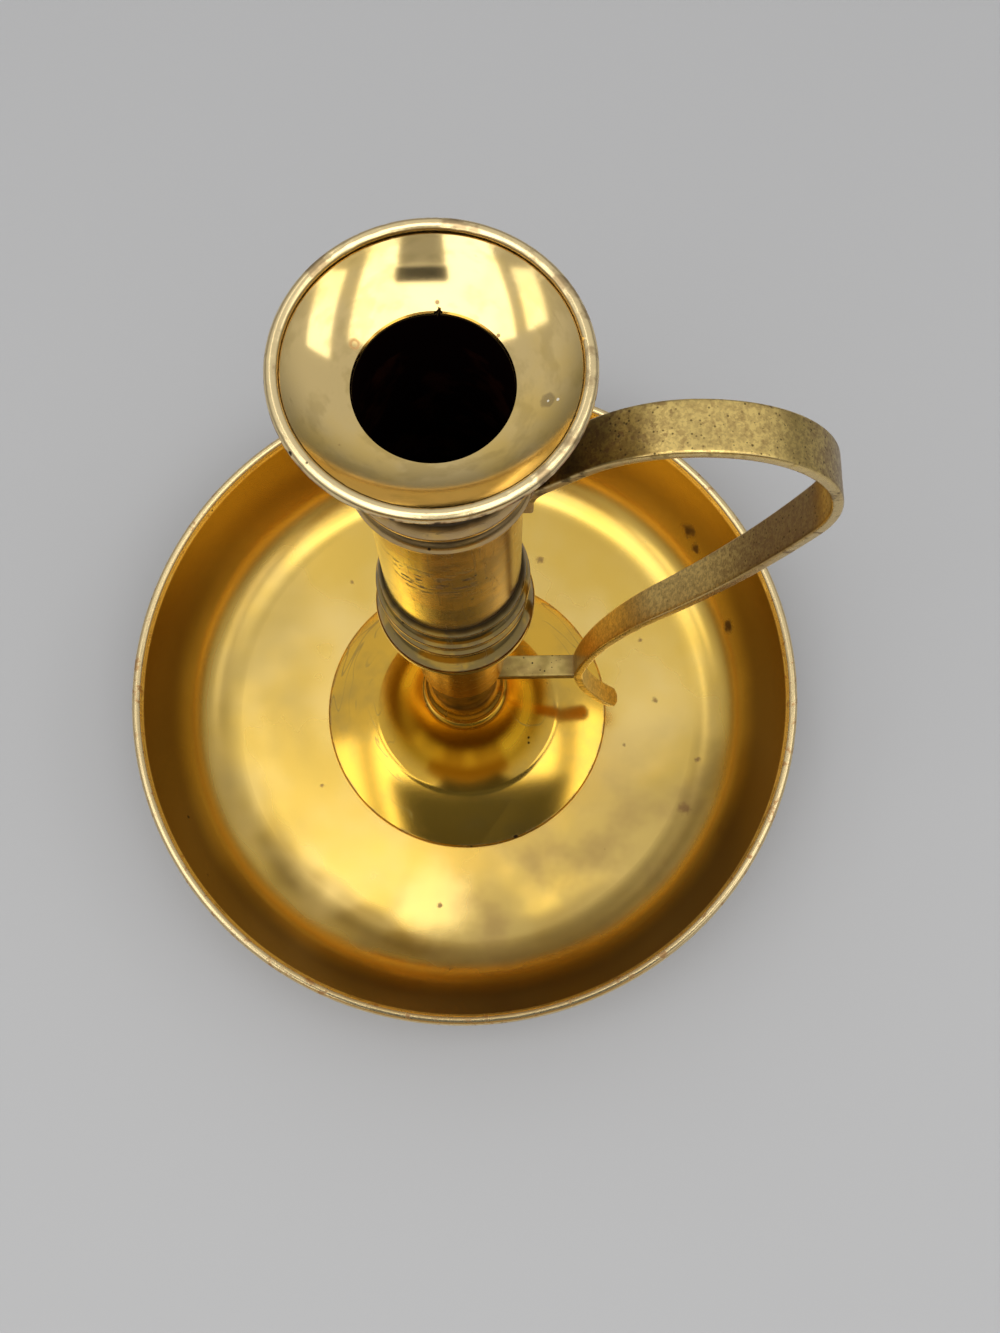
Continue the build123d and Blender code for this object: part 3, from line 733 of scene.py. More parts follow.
def tube_brass(group):
    """The barrel: a painted highlight on its front left and painted shade towards the handle, scratched and
    pitted in front, sooty inside.
    """
    colours, bore = group.finish, group.socket.candle_bore_radius
    made = Finish("tube brass", colours.warm_brass, 0.15)
    made.lathe_marks(0.5, 10)

    # Painted highlight: yellow at the front left. Painted shade: browner towards the handle
    lit = made.ramp(made.x, -0.001, -0.006) * made.ramp(made.y, 0.003, -0.003)
    made.lay(lit, colours.painted_highlight_yellow, 0.15)
    made.lay(made.patches(45, 0.45, 0.66) * made.ramp(made.x, -0.009, -0.003) * 0.6, colours.worn_brass, 0.22)
    made.lay(made.ramp(made.x, -0.005, 0.001) * 0.6, colours.olive_brass, 0.2)
    made.lay(made.ramp(made.x, 0.0045, 0.0085) * 0.75, colours.stain, 0.22)

    # Scratches, and a band of scars in front
    front = made.ramp(made.y, -0.006, -0.011)
    made.lay(made.patches(110, 0.42, 0.6, made.scaled(1.0, 1.0, 1.6)) * front * 0.5, colours.deep_brass, 0.26)
    upright = made.hairlines(made.scaled(1.0, 1.0, 0.05), 1500, 0.03)
    made.lay(upright * front * 0.5, colours.stain, 0.35, rise=-1)
    made.lay(made.hairlines(made.around(2.0, 0, 2200), 1.0, 0.02) * 0.7, colours.stain, 0.35, rise=-1)
    pitted = made.specks(520, 0.26, 0.4) * front * made.band(made.z, PIT_LEVEL, 0.008, 0.002)
    made.lay(pitted, colours.grime, 0.6, rise=-25)
    scarred = made.band(made.z, PIT_LEVEL, 0.009, 0.002) * front * made.band(made.x, -0.002, 0.008, 0.005)
    scars = made.patches(700, 0.52, 0.57, made.scaled(0.5, 1.0, 1.2), 7.0) * scarred
    made.lay(scars * 0.9, colours.stain, 0.45, rise=-12)
    made.lay(scars * made.patches(260, 0.45, 0.6) * 0.7, colours.grime, 0.5)
    made.lay(made.specks(300, 0.12, 0.25), colours.grime, 0.5, rise=-10)

    inside = made.ramp(made.radius, bore + 0.0007, bore + 0.0003)
    made.lay(inside, colours.soot, 0.75)
    made.lay(inside * made.patches(150, 0.5, 0.7), colours.char, 0.6)
    return made.made()


def mouth_brass(group):
    """The nozzle: a bright funnel, a knocked lip and a sooty bore."""
    colours, sizes = group.finish, group.socket
    top, radius, bore = high("nozzle").z, high("nozzle").x, sizes.candle_bore_radius
    edge = top - sizes.funnel_depth
    lip_start, seam_radius = radius - LIP_WIDTH, radius - SEAM_INSET
    made = Finish("mouth brass", colours.pale_brass, 0.1)
    made.lathe_marks(0.3, 5)
    made.lay(made.noise(75, None, 1.0), rise=30)

    # The funnel: faint clouds and lines round it, then its stains
    made.lay(made.patches(90, 0.4, 0.7) * 0.5, colours.warm_brass, 0.13)
    made.lay(made.patches(1.0, 0.48, 0.62, made.around(2.4, 330, 0)) * 0.3, colours.worn_brass, 0.16)
    funnel = made.ramp(made.z, edge - 0.0003, edge) * made.ramp(made.radius, lip_start + 0.0005, lip_start)
    made.lay(made.hairlines(made.around(1.4, 1400, 0), 1.0, 0.004) * funnel * 0.3, colours.worn_brass, 0.2)
    made.lay(made.specks(240, 0.13, 0.22) * 0.8, colours.stain, 0.4, rise=-3)
    ring_holes = tuple((*place, size * 0.55) for *place, size in MOUTH_RINGS)
    rings = made.spots(MOUTH_RINGS, 0.15) - made.spots(ring_holes, 0.15)
    made.lay(rings * 0.6, colours.rust, 0.3)
    made.lay(made.spots(MOUTH_SPOTS) * 0.55, colours.tarnish, 0.35)
    made.lay(made.spots(MOUTH_DOTS, 0.1), colours.bloom, 0.5, metal=0.4)

    # The lip: rubbed on top, rusty and knocked on its outside, with a seam along the funnel
    lip = made.ramp(made.radius, lip_start, lip_start + 0.0004)
    made.lay(lip * 0.9, colours.rubbed_brass, 0.27)
    outer = made.ramp(made.radius - made.z, radius - top + 0.0003, radius - top + 0.0011) * lip
    made.lay(outer * made.patches(340, 0.35, 0.6), colours.rust, 0.42, rise=-10)
    made.lay(outer * made.patches(520, 0.52, 0.64), colours.grime, 0.5, rise=-18)
    made.lay(lip * made.specks(380, 0.2, 0.22), colours.grime, 0.5, rise=-20)
    made.lay(lip * made.patches(230, 0.54, 0.66) * 0.6, colours.stain, 0.4, rise=-4)
    seam = made.band(made.radius, seam_radius, 0.00018, 0.00006)
    made.lay(seam * made.ramp(made.z, top - 0.002, top - 0.0016) * 0.5, colours.stain, 0.4)

    # The dull foot, then the soot in the bore and in its notch
    skirt = made.ramp(made.z, edge, edge - 0.004)
    made.lay(skirt * made.patches(120, 0.35, 0.65) * 0.7, colours.worn_brass, 0.26)
    beside = abs(made.x - bore * cos(sizes.notch_angle)) + (made.radius - bore) * NOTCH_SLANT
    notch = made.ramp(beside, 0.00032, 0.00022) * made.ramp(made.y, 0.008, 0.009)
    made.lay(notch, colours.soot, 0.7)
    in_bore = made.ramp(made.radius, bore + 0.0005, bore + 0.0001)
    made.lay(in_bore * made.ramp(made.z, edge - 0.0001, edge - 0.0008), colours.soot, 0.7)
    return made.made()


def strap_brass(group):
    """The strap: satin, pitted and speckled all over, with rubbed edges."""
    colours, root_level = group.finish, group.handle.root_level
    made = Finish("strap brass", colours.worn_brass, 0.33)
    along = made.node("ShaderNodeAttribute", {"attribute_name": "along"}, {}, "Fac")
    edge = made.node("ShaderNodeAttribute", {"attribute_name": "edge"}, {}, "Fac")
    made.lay(made.noise(160), rise=9)

    # Painted sheen in gold over the finger and down the return run, browner in the bow
    crown_sheen = made.band(along, CROWN_ALONG, 0.022, 0.006)
    made.lay(crown_sheen * made.patches(70, 0.2, 0.5) * 0.95, colours.strap_gold, 0.3)
    run = made.ramp(along, 0.09, 0.12)
    made.lay(run * made.patches(90, 0.1, 0.45) * 0.85, colours.strap_gold, 0.28)
    made.lay(made.band(along, BOW_ALONG, 0.026, 0.008) * 0.5, colours.stain, 0.36)

    # A fine grain, a dark root and a dark end at the stay, with pits all over
    grain = 0.55 - crown_sheen * 0.25 - run * 0.25
    made.lay(made.patches(900, 0.42, 0.6) * grain, colours.stain, 0.4, rise=-6)
    made.lay(made.patches(1900, 0.48, 0.6) * grain, colours.stain, 0.42, rise=-5)
    near_root = made.ramp(along, 0.05, 0.01)
    near_stay = made.band(along, STAY_ALONG, 0.024, 0.005)
    made.lay(near_stay * made.patches(110, 0.3, 0.6) * 0.85, colours.olive_brass, 0.3)
    open_side = 1.0 - run * 0.6
    made.lay(made.specks(1500, 0.4, 0.35) * open_side * 0.75, colours.grime, 0.55, rise=-12)
    coarse = made.specks(850, 0.3, 0.16) * (0.35 + near_root * 0.65)
    made.lay(coarse * open_side, colours.grime, 0.6, rise=-25)
    pits = made.patches(620, 0.56, 0.64) * (0.3 + near_root * 0.7)
    made.lay(pits * open_side * 0.8, colours.stain, 0.55, rise=-14)
    made.lay(near_root * made.patches(90, 0.4, 0.65) * 0.7, colours.grime, 0.5)

    rubbed = made.ramp(edge, 0.9, 0.98) * made.patches(380, 0.35, 0.5)
    made.lay(rubbed * 0.7, colours.pale_brass, 0.24)
    foot = made.ramp(made.z, root_level + 0.0035, root_level + 0.0012) * made.ramp(along, 0.006, 0.0035)
    made.lay(foot * made.patches(300, 0.3, 0.6), colours.rust, 0.5)
    return made.made()


def stay_brass(group):
    """The stay: the strap's brass, mottled, with painted shade darkening its lower part, and dark where it
    meets the strap.
    """
    colours, under, far = group.finish, low("handle_stay").z, high("handle_stay")
    made = Finish("stay brass", colours.worn_brass, 0.32)
    made.lay(made.noise(260), rise=8)
    made.lay(made.patches(180, 0.35, 0.62) * 0.5, colours.strap_gold, 0.27)
    made.lay(made.patches(300, 0.45, 0.6) * 0.3, colours.stain, 0.42)
    made.lay(made.specks(1100, 0.3, 0.35), colours.grime, 0.55, rise=-14)
    # Painted shade: darker towards the bottom
    made.lay(made.ramp(made.z, far.z - 0.0008, under + 0.0004) * 0.8, colours.grime, 0.5)
    made.lay(made.ramp(made.x, far.x - 0.003, far.x) * 0.5, colours.stain, 0.45)
    return made.made()


def fixing_steel(group):
    """Old steel: brown in the hollows, bright on the corners."""
    colours = group.finish
    made = Finish("fixing steel", colours.steel, 0.38)
    made.lay(made.noise(1.0, made.around(1.0, 1800, 1800)), rise=1.5)
    made.lay(made.patches(170, 0.42, 0.62), colours.dark_steel, 0.5)
    made.lay(made.patches(330, 0.52, 0.64) * 0.8, colours.steel_rust, 0.7, rise=6, metal=0.2)
    made.lay(made.hairlines(made.scaled(1.0, 0.3, 1.0), 420, 0.02), colours.pale_steel, 0.28, rise=-2)
    made.lay(made.specks(700, 0.22, 0.3), colours.grime, 0.6, rise=-14)
    return made.made()


def knock(mesh, bead, bead_radius, depth, density):
    """Presses small knocks into a beaded rim, the same each time."""
    for vert in mesh.verts:
        out = Vector((vert.co.xy.length, vert.co.z)) - bead
        if out.length < bead_radius * BEAD_REACH:
            flat = vert.co.xy.normalized()
            at = Vector((flat.x, flat.y, out.y / bead_radius * KNOCK_STRETCH)) * bead.x * density
            hit = max(0.0, noise.noise(at) - KNOCK_LEVEL) / KNOCK_LEVEL
            out *= 1 - depth / bead_radius * hit
            vert.co.xy = flat * (bead.x + out.x)
            vert.co.z = bead.y + out.y


class MakePan(bpy.types.Operator):
    """Turn the drip pan with its boss and its beaded rim"""

    bl_idname = "chamberstick.pan"
    bl_label = "Drip pan"

    def execute(self, context):
        group = context.scene.chamberstick
        sizes = group.pan
        top = high("drip_pan")
        floor, lid = sizes.sheet, sizes.boss_rise + sizes.sheet
        bead = Vector((top.x - sizes.bead_radius, top.z - sizes.bead_radius))
        corner = Vector((sizes.corner_radius, floor))
        wall = (bead - corner).normalized()
        normal = Vector((wall.y, -wall.x))
        # The wall's inner face is the drawn line, and the bead's centre lies half a sheet outside it
        neck = bead - wall * sqrt(sizes.bead_radius**2 - (sizes.sheet / 2) ** 2)
        inner, outer = neck - normal * sizes.sheet / 2, neck + normal * sizes.sheet / 2
        # Parallel corners of the underside, one sheet away
        wall_turn = atan2(wall.y, wall.x)
        boss_slope = Vector((sizes.boss_foot_radius - sizes.boss_radius, floor - lid))
        boss_turn = atan2(-boss_slope.y, boss_slope.x)
        under_wall = (sizes.corner_radius + sizes.sheet * tan(wall_turn / 2), 0.0)
        under_foot = (sizes.boss_foot_radius - sizes.sheet * tan(boss_turn / 2), 0.0)
        under_lid = (sizes.boss_radius - sizes.sheet * tan(boss_turn / 2), sizes.boss_rise)

        dish = Outline(sizes.hole_radius, lid)
        dish.corner((sizes.boss_radius, lid), (sizes.boss_foot_radius, floor), sizes.boss_top_bend)
        dish.corner((sizes.boss_foot_radius, floor), corner, sizes.boss_foot_bend)
        dish.line(high("stem_foot").x, floor)
        bend_start = sizes.corner_radius - sizes.bend_radius * tan(wall_turn / 2)
        dish.line(bend_start, floor, steps=6)
        dish.corner(corner, inner, sizes.bend_radius, steps=22)
        dish.line(*(inner - wall * sizes.sheet / 2), steps=3).line(*inner)
        half_neck = asin(sizes.sheet / 2 / sizes.bead_radius)
        dish.arc(*bead, -2 * (pi - half_neck), steps=14)
        dish.line(*outer).line(*(outer - wall * sizes.sheet / 2))
        dish.corner(under_wall, under_foot, sizes.bend_radius + sizes.sheet, steps=18)
        dish.corner(under_foot, under_lid, sizes.boss_foot_bend + sizes.sheet)
        dish.line(*under_lid)
        dish.line(sizes.hole_radius, sizes.boss_rise)
        mesh = dish.close().turned()
        knock(mesh, bead, sizes.bead_radius, sizes.nick_depth, PAN_KNOCKS)
        piece("pan", mesh, "drip_pan", pan_brass(group))
        return {"FINISHED"}


class MakeFoot(bpy.types.Operator):
    """Turn the hollow bell foot"""

    bl_idname = "chamberstick.foot"
    bl_label = "Stem foot"

    def execute(self, context):
        group = context.scene.chamberstick
        sizes, hole = group.stem, group.pan.hole_radius
        bottom, top, radius = low("stem_foot").z, high("stem_foot").z, high("stem_foot").x
        edge = bottom + sizes.foot_edge
        brim_radius = radius - sizes.foot_brim_width
        brim_level = edge + sizes.foot_brim_rise
        throat_level = top - sizes.foot_throat_drop
        run, fall = brim_radius - sizes.foot_throat_radius, throat_level - brim_level
        flare = (run**2 + fall**2) / (2 * run)
        centre = Vector((sizes.foot_throat_radius + flare, throat_level))
        lean = asin(run / flare - 1)
        inner = flare + sizes.foot_wall
        ceiling = top - sizes.foot_top_wall
        inner_end = centre + Vector((sin(lean), -cos(lean))) * inner
        inner_turn = pi / 2 + lean - asin((centre.y - ceiling) / inner)

        bell = Outline(hole, ceiling).line(hole, top)
        bell.line(sizes.foot_neck_radius, top)
        bell.line(centre.x - flare, centre.y, steps=2)
        throat, brim = Vector((sizes.foot_throat_radius, throat_level)), Vector((brim_radius, brim_level))
        chord = brim - throat
        hollow = (throat + brim) / 2 + Vector((chord.y, -chord.x)).normalized() * sizes.foot_hollow
        bell.through(hollow, brim, steps=30)
        middle = Vector(((radius + brim_radius) / 2, (brim_level + edge) / 2 + sizes.foot_brim_crown))
        soft = sizes.foot_edge_round
        nose = (radius - soft * SHOULDER_SHARE, edge - soft * SHOULDER_SHARE * 2)
        bell.through(middle, (radius - soft, edge + soft * SHOULDER_SHARE), steps=14)
        bell.through(nose, (radius, edge - soft), steps=5)
        bell.line(radius, bottom).line(radius - sizes.foot_land, bottom).line(*inner_end)
        bell.arc(*centre, -inner_turn, steps=12)
        mesh = bell.close().turned()
        piece("foot", mesh, "stem_foot", foot_brass(group))
        return {"FINISHED"}


class MakeStem(bpy.types.Operator):
    """Turn the lower stem, the knop and the ring collar"""

    bl_idname = "chamberstick.stem"
    bl_label = "Stem"

    def lower_stem(self, sizes, hole):
        """Two rings, a cove, the waist, its flare and the long collar."""
        bottom, top, radius = low("lower_stem").z, high("lower_stem").z, high("lower_stem").x
        bead_top = bottom + sizes.base_bead_height
        ring_top = bead_top + sizes.stem_bead_height
        cove_top = ring_top + sizes.waist_cove_height
        waist_top = cove_top + sizes.waist_length
        lip = waist_top + sizes.waist_flare_height
        ring_foot = sizes.stem_bead_radius - sizes.stem_bead_crown
        stem = Outline(hole, top).line(hole, bottom).line(radius - sizes.base_bead_crown, bottom)
        stem.through((radius, (bottom + bead_top) / 2), (ring_foot, bead_top), steps=10)
        stem.through((sizes.stem_bead_radius, (bead_top + ring_top) / 2), (ring_foot, ring_top), steps=10)
        cove_end = (sizes.waist_radius, cove_top)
        stem.through(between((ring_foot, ring_top), cove_end, COVE_SHARES), cove_end, steps=10)
        stem.line(sizes.waist_radius, waist_top, steps=4)
        flare_end = (sizes.waist_flare_radius, lip)
        stem.through(between((sizes.waist_radius, waist_top), flare_end, FLARE_SHARES), flare_end, steps=8)
        stem.line(sizes.collar_bottom_radius, lip).line(sizes.collar_top_radius, top, steps=6)
        return stem.close().turned()

    def knop(self, sizes, hole):
        """One bold bead."""
        bottom, top, radius = low("knop").z, high("knop").z, high("knop").x
        ball = Outline(sizes.knop_bottom_radius, bottom)
        ball.through((radius, bottom + sizes.knop_crest_height), (sizes.knop_top_radius, top), steps=28)
        ball.line(hole, top).line(hole, bottom)
        return ball.close().turned()

    def ring_collar(self, sizes, socket):
        """Three fine beads, the plug over them and the tapped hole under them."""
        level, radius = low("ring_collar").z, high("ring_collar").x
        rings = Outline(sizes.groove_radius, level)
        for inset, height in (
            (sizes.ring_inset, sizes.ring_height),
            (0.0, sizes.ring_height),
            (sizes.top_ring_inset, sizes.top_ring_height),
        ):
            middle = (radius - inset, level + height / 2)
            level += height
            rings.through(middle, (sizes.groove_radius, level), steps=12)
        seat, plug_top = low("socket_tube").z, high("ring_collar").z
        plug_radius = socket.candle_bore_radius + socket.tube_foot_recess - socket.seat_gap
        thread_radius, thread_top = sizes.thread_radius, low("ring_collar").z + sizes.thread_depth
        rings.line(sizes.groove_radius, seat).line(plug_radius, seat).line(plug_radius, plug_top)
        rings.line(0.0, plug_top)
        rings.line(0.0, thread_top).line(thread_radius, thread_top)
        rings.line(thread_radius, low("ring_collar").z)
        return rings.close().turned()

    def execute(self, context):
        group = context.scene.chamberstick
        sizes, hole, colours = group.stem, group.pan.hole_radius, group.finish
        stem = dark_brass(group, "stem brass", colours.amber_brass_and_reflection, roughness=0.26, wear=0.25,
                          groove=sizes.waist_radius - WAIST_DIRT_DEPTH, reach=0.0006)
        ball = dark_brass(group, "knop brass", colours.olive_brass, roughness=0.1, wear=0.5,
                          groove=0.0, reach=0.0001)
        rings = dark_brass(group, "ring brass", colours.olive_brass, roughness=0.1, wear=0.5,
                           groove=sizes.groove_radius, reach=0.0011)
        piece("stem", self.lower_stem(sizes, hole), "lower_stem", stem)
        piece("knop_ring", self.knop(sizes, hole), "knop", ball)
        piece("rings", self.ring_collar(sizes, group.socket), "ring_collar", rings)
        return {"FINISHED"}


class MakeTube(bpy.types.Operator):
    """Turn the plain tube that holds the candle"""

    bl_idname = "chamberstick.tube"
    bl_label = "Socket tube"

    def execute(self, context):
        group = context.scene.chamberstick
        sizes = group.socket
        bottom, top, radius = low("socket_tube").z, high("socket_tube").z, high("socket_tube").x
        foot_bore = sizes.candle_bore_radius + sizes.tube_foot_recess
        shoulder = bottom + sizes.plug_height
        barrel = Outline(radius, bottom).line(radius, top, steps=24)
        barrel.line(sizes.candle_bore_radius, top).line(sizes.candle_bore_radius, shoulder, steps=12)
        barrel.line(foot_bore, shoulder).line(foot_bore, bottom)
        mesh = barrel.close().turned()
        piece("barrel", mesh, "socket_tube", tube_brass(group))
        return {"FINISHED"}


class MakeNeck(bpy.types.Operator):
    """Turn the neck collar with its two rings"""

    bl_idname = "chamberstick.neck"
    bl_label = "Neck collar"

    def execute(self, context):
        group = context.scene.chamberstick
        sizes = group.socket
        level, top = low("neck_collar").z, high("neck_collar").z
        sleeve = high("socket_tube").x + sizes.seat_gap
        groove, ring = sizes.neck_groove_radius, sizes.neck_ring_radius
        collar = Outline(groove, level)
        lower_top = level + sizes.neck_lower_height
        collar.through((ring, (level + lower_top) / 2), (groove, lower_top), steps=12)
        level = lower_top + sizes.neck_groove_height
        collar.line(groove, level)
        upper_top = level + sizes.neck_upper_height
        collar.through((ring, (level + upper_top) / 2), (groove, upper_top), steps=14)
        collar.line(groove, top).line(sleeve, top).line(sleeve, low("neck_collar").z)
        mesh = collar.close().turned()
        metal = dark_brass(group, "neck brass", group.finish.bronze, roughness=0.18, wear=0.3,
                           groove=groove, reach=0.0010)
        piece("neck", mesh, "neck_collar", metal)
        return {"FINISHED"}


class MakeNozzle(bpy.types.Operator):
    """Turn the trumpet-shaped mouth with its funnel and rolled lip"""

    bl_idname = "chamberstick.nozzle"
    bl_label = "Nozzle"

    def notch(self, mesh, sizes, edge):
        """Files a small V into the edge of the bore."""
        bore = sizes.candle_bore_radius
        for vert in mesh.verts:
            radius = vert.co.xy.length
            off_centre = abs(atan2(vert.co.y, vert.co.x) - sizes.notch_angle) * bore
            depth = sizes.notch_depth * (1 - off_centre / (sizes.notch_width / 2))
            depth *= min(1.0, 1 - (edge - sizes.bore_edge - vert.co.z) / sizes.bore_land)
            if vert.co.z > edge - sizes.bore_land / 2 and 0 < depth and radius < bore + depth:
                vert.co.xy = vert.co.xy.normalized() * (bore + depth)

    def execute(self, context):
        group = context.scene.chamberstick
        sizes = group.socket
        bottom, mouth, radius = low("nozzle").z, high("nozzle").z, high("nozzle").x
        bore, skirt, bead = sizes.candle_bore_radius, sizes.nozzle_skirt_radius, sizes.lip_bead_radius
        edge = mouth - sizes.funnel_depth
        lip = Vector((radius - bead, mouth - bead))
        sleeve = high("socket_tube").x + sizes.seat_gap
        # The outside is one arc that starts upright and runs to the middle of the lip's bead
        chord = lip - Vector((skirt, bottom))
        trumpet_radius = chord.length_squared / (2 * chord.x)
        trumpet_turn = 2 * asin(chord.length / 2 / trumpet_radius)
        trim = asin(bead / 2 / trumpet_radius) * 2
        funnel = (lip + Vector((bore, edge))) / 2 - Vector((0, sizes.funnel_sag))

        horn = Outline(skirt, bottom)
        horn.arc(skirt + trumpet_radius, bottom, -(trumpet_turn - trim), steps=26)
        start = horn.tip.co.xz - lip
        funnel_start = (funnel - lip).normalized() * bead
        turn = (atan2(funnel_start.y, funnel_start.x) - atan2(start.y, start.x)) % (2 * pi) - sizes.lip_blend
        horn.arc(*lip, turn, steps=16)
        horn.through(funnel, (bore + sizes.bore_edge, edge + sizes.bore_edge / 2), steps=20)
        horn.line(bore, edge - sizes.bore_edge).line(bore, edge - sizes.bore_land)
        horn.line(bore, high("socket_tube").z).line(sleeve, high("socket_tube").z).line(sleeve, bottom)
        mesh = horn.close().turned()
        self.notch(mesh, sizes, edge)
        knock(mesh, lip, bead, group.pan.nick_depth, LIP_KNOCKS)
        piece("mouth", mesh, "nozzle", mouth_brass(group))
        return {"FINISHED"}


class Strip:
    """A flat bar that is drawn along a path in the XZ plane, bend by bend."""

    def __init__(self, sizes, width, x, z):
        self.sizes, self.width = sizes, width
        self.mesh = bmesh.new()
        self.along = self.mesh.verts.layers.float.new("along")
        self.edge = self.mesh.verts.layers.float.new("edge")
        self.place, self.heading, self.gone = Vector((x, z)), Vector((0.0, 1.0)), 0.0
        self.half = self.width(x, z)
        corners = bmesh.ops.create_grid(self.mesh, x_segments=1, y_segments=8, size=0.5)["verts"]
        middle = Vector((x - sizes.thickness / 2, 0.0, z))
        bmesh.ops.scale(self.mesh, vec=(sizes.thickness, 2 * self.half, 1), verts=corners)
        bmesh.ops.translate(self.mesh, vec=middle, verts=corners)
        outside = [v for v in corners if len(v.link_edges) == 2]
        bmesh.ops.bevel(self.mesh, geom=outside, offset=sizes.edge_round, segments=5, profile=0.5,
                        affect="VERTICES", material=-1)
        self.ring = [e for e in self.mesh.edges if len(e.link_faces) == 1]
        for vert in self.mesh.verts:
            vert[self.edge] = abs(vert.co.y) / self.half

    def step(self, made, run):
        """Takes the new section, and scales it to the width that the strap has there."""
        self.gone += run
        self.ring = [g for g in made if isinstance(g, bmesh.types.BMEdge)]
        verts = list({v for e in self.ring for v in e.verts})
        for vert in verts:
            vert[self.along] = self.gone
        half = self.width(self.place.x, self.place.y)
        bmesh.ops.scale(self.mesh, vec=(1, half / self.half, 1), verts=verts)
        self.half = half

    def straight(self, run):
        """Goes straight on."""
        count = ceil(run / self.sizes.station)
        for _ in range(count):
            made = bmesh.ops.extrude_edge_only(self.mesh, edges=self.ring)["geom"]
            move = self.heading * run / count
            self.place += move
            verts = [g for g in made if isinstance(g, bmesh.types.BMVert)]
            bmesh.ops.translate(self.mesh, vec=(move.x, 0, move.y), verts=verts)
            fresh = set(verts)
            edges = [g for g in made if isinstance(g, bmesh.types.BMEdge) and set(g.verts) <= fresh]
            self.step(edges, run / count)

    def bend(self, radius, turn):
        """Goes round a bend. A positive turn goes clockwise, seen along +Y."""
        side = 1 if turn > 0 else -1
        centre = self.place + Vector((self.heading.y, -self.heading.x)) * radius * side
        count = ceil(max(abs(turn) / BEND_STEP, abs(turn) * radius / self.sizes.station))
        for _ in range(count):
            verts = list({v for e in self.ring for v in e.verts})
            made = bmesh.ops.spin(self.mesh, geom=verts + self.ring, cent=(centre.x, 0, centre.y),
                                  axis=(0, 1, 0), angle=turn / count, steps=1)["geom_last"]
            swing = Matrix.Rotation(-turn / count, 2)
            self.place = centre + swing @ (self.place - centre)
            self.heading = swing @ self.heading
            self.step(made, radius * abs(turn) / count)

    def ended(self):
        """Closes the end and returns the mesh."""
        bmesh.ops.contextual_create(self.mesh, geom=self.ring)
        bmesh.ops.recalc_face_normals(self.mesh, faces=self.mesh.faces[:])
        return self.mesh


class MakeHandle(bpy.types.Operator):
    """Bend the strap handle and set the stay"""

    bl_idname = "chamberstick.handle"
    bl_label = "Handle"

    def strap(self, sizes, socket):
        """The whole strap, from its saddle on the tube to its curl."""
        tube_radius = high("socket_tube").x
        sleeve = tube_radius + socket.seat_gap
        half_root = sizes.root_width / 2
        start = sqrt(tube_radius**2 - half_root**2) + sizes.thickness
        root, tip = sizes.root_level, low("handle_strap").z
        widths = ((root, sizes.crown_width / 2), (sizes.run_level, sizes.run_width / 2),
                  (low("handle_stay").z, sizes.stay_width / 2), (tip, sizes.tip_width / 2))

        def width(x, z):
            share = min(1.0, max(0.0, x / sizes.crown_reach))
            by_x = half_root + (sizes.crown_width / 2 - half_root) * share * share * (3 - 2 * share)
            by_z = widths[0][1]
            for (above, wide), (below, narrow) in zip(widths, widths[1:]):
                if z < above:
                    part = min(1.0, (above - z) / (above - below))
                    by_z = wide + (narrow - wide) * part
            corner = sizes.tip_corner
            past = corner - (z - tip)
            if past > 0:
                by_z -= corner - sqrt(max(0.0, corner**2 - past**2))
            return min(by_x, by_z)

        strip = Strip(sizes, width, start, root)
        strip.straight(sizes.root_foot)
        strip.bend(sizes.root_radius, sizes.root_angle)
        strip.straight(sizes.rise)
        strip.bend(sizes.crown_radius, pi / 2 - sizes.root_angle)
        strip.bend(sizes.bow_radius, pi / 2 + sizes.bow_overturn)
        strip.bend(sizes.run_radius, sizes.run_angle)
        strip.bend(sizes.lower_radius, -sizes.lower_angle)
        strip.bend(sizes.stay_radius, -sizes.stay_angle)
        strip.bend(sizes.curl_radius, -sizes.curl_angle)
        mesh = strip.ended()
        for vert in mesh.verts:
            if vert.co.xy.length < sleeve:
                vert.co.x = sqrt(sleeve**2 - vert.co.y**2)
        return mesh

    def stay(self, sizes, stem, socket):
        """A flat bar with soft edges, hollowed at one end to sit on the waist."""
        bottom, top, end = low("handle_stay").z, high("handle_stay").z, high("handle_stay").x
        saddle = stem.waist_radius + socket.seat_gap
        mesh = bmesh.new()
        bmesh.ops.create_cube(mesh, size=1.0)
        bmesh.ops.scale(mesh, vec=(end - saddle, sizes.stay_width, top - bottom), verts=mesh.verts)
        bmesh.ops.translate(mesh, vec=((end + saddle) / 2, 0, (bottom + top) / 2), verts=mesh.verts)
        across = [e for e in mesh.edges if e.verts[0].co.y * e.verts[1].co.y < 0]
        bmesh.ops.subdivide_edges(mesh, edges=across, cuts=7, use_grid_fill=True)
        middle = (end + saddle) / 2
        lengthways = [e for e in mesh.edges if (e.verts[0].co.x - middle) * (e.verts[1].co.x - middle) < 0]
        corners = [e for e in lengthways if e.calc_face_angle() > CREASE_ANGLE]
        bmesh.ops.bevel(mesh, geom=corners, offset=sizes.stay_edge, segments=3, profile=0.5,
                        affect="EDGES", material=-1)
        for vert in mesh.verts:
            if vert.co.x < middle:
                vert.co.x = sqrt(saddle**2 - vert.co.y**2)
        return mesh

    def execute(self, context):
        group = context.scene.chamberstick
        strap = self.strap(group.handle, group.socket)
        stay = self.stay(group.handle, group.stem, group.socket)
        piece("strap", strap, "handle_strap", strap_brass(group))
        piece("stay", stay, "handle_stay", stay_brass(group))
        return {"FINISHED"}


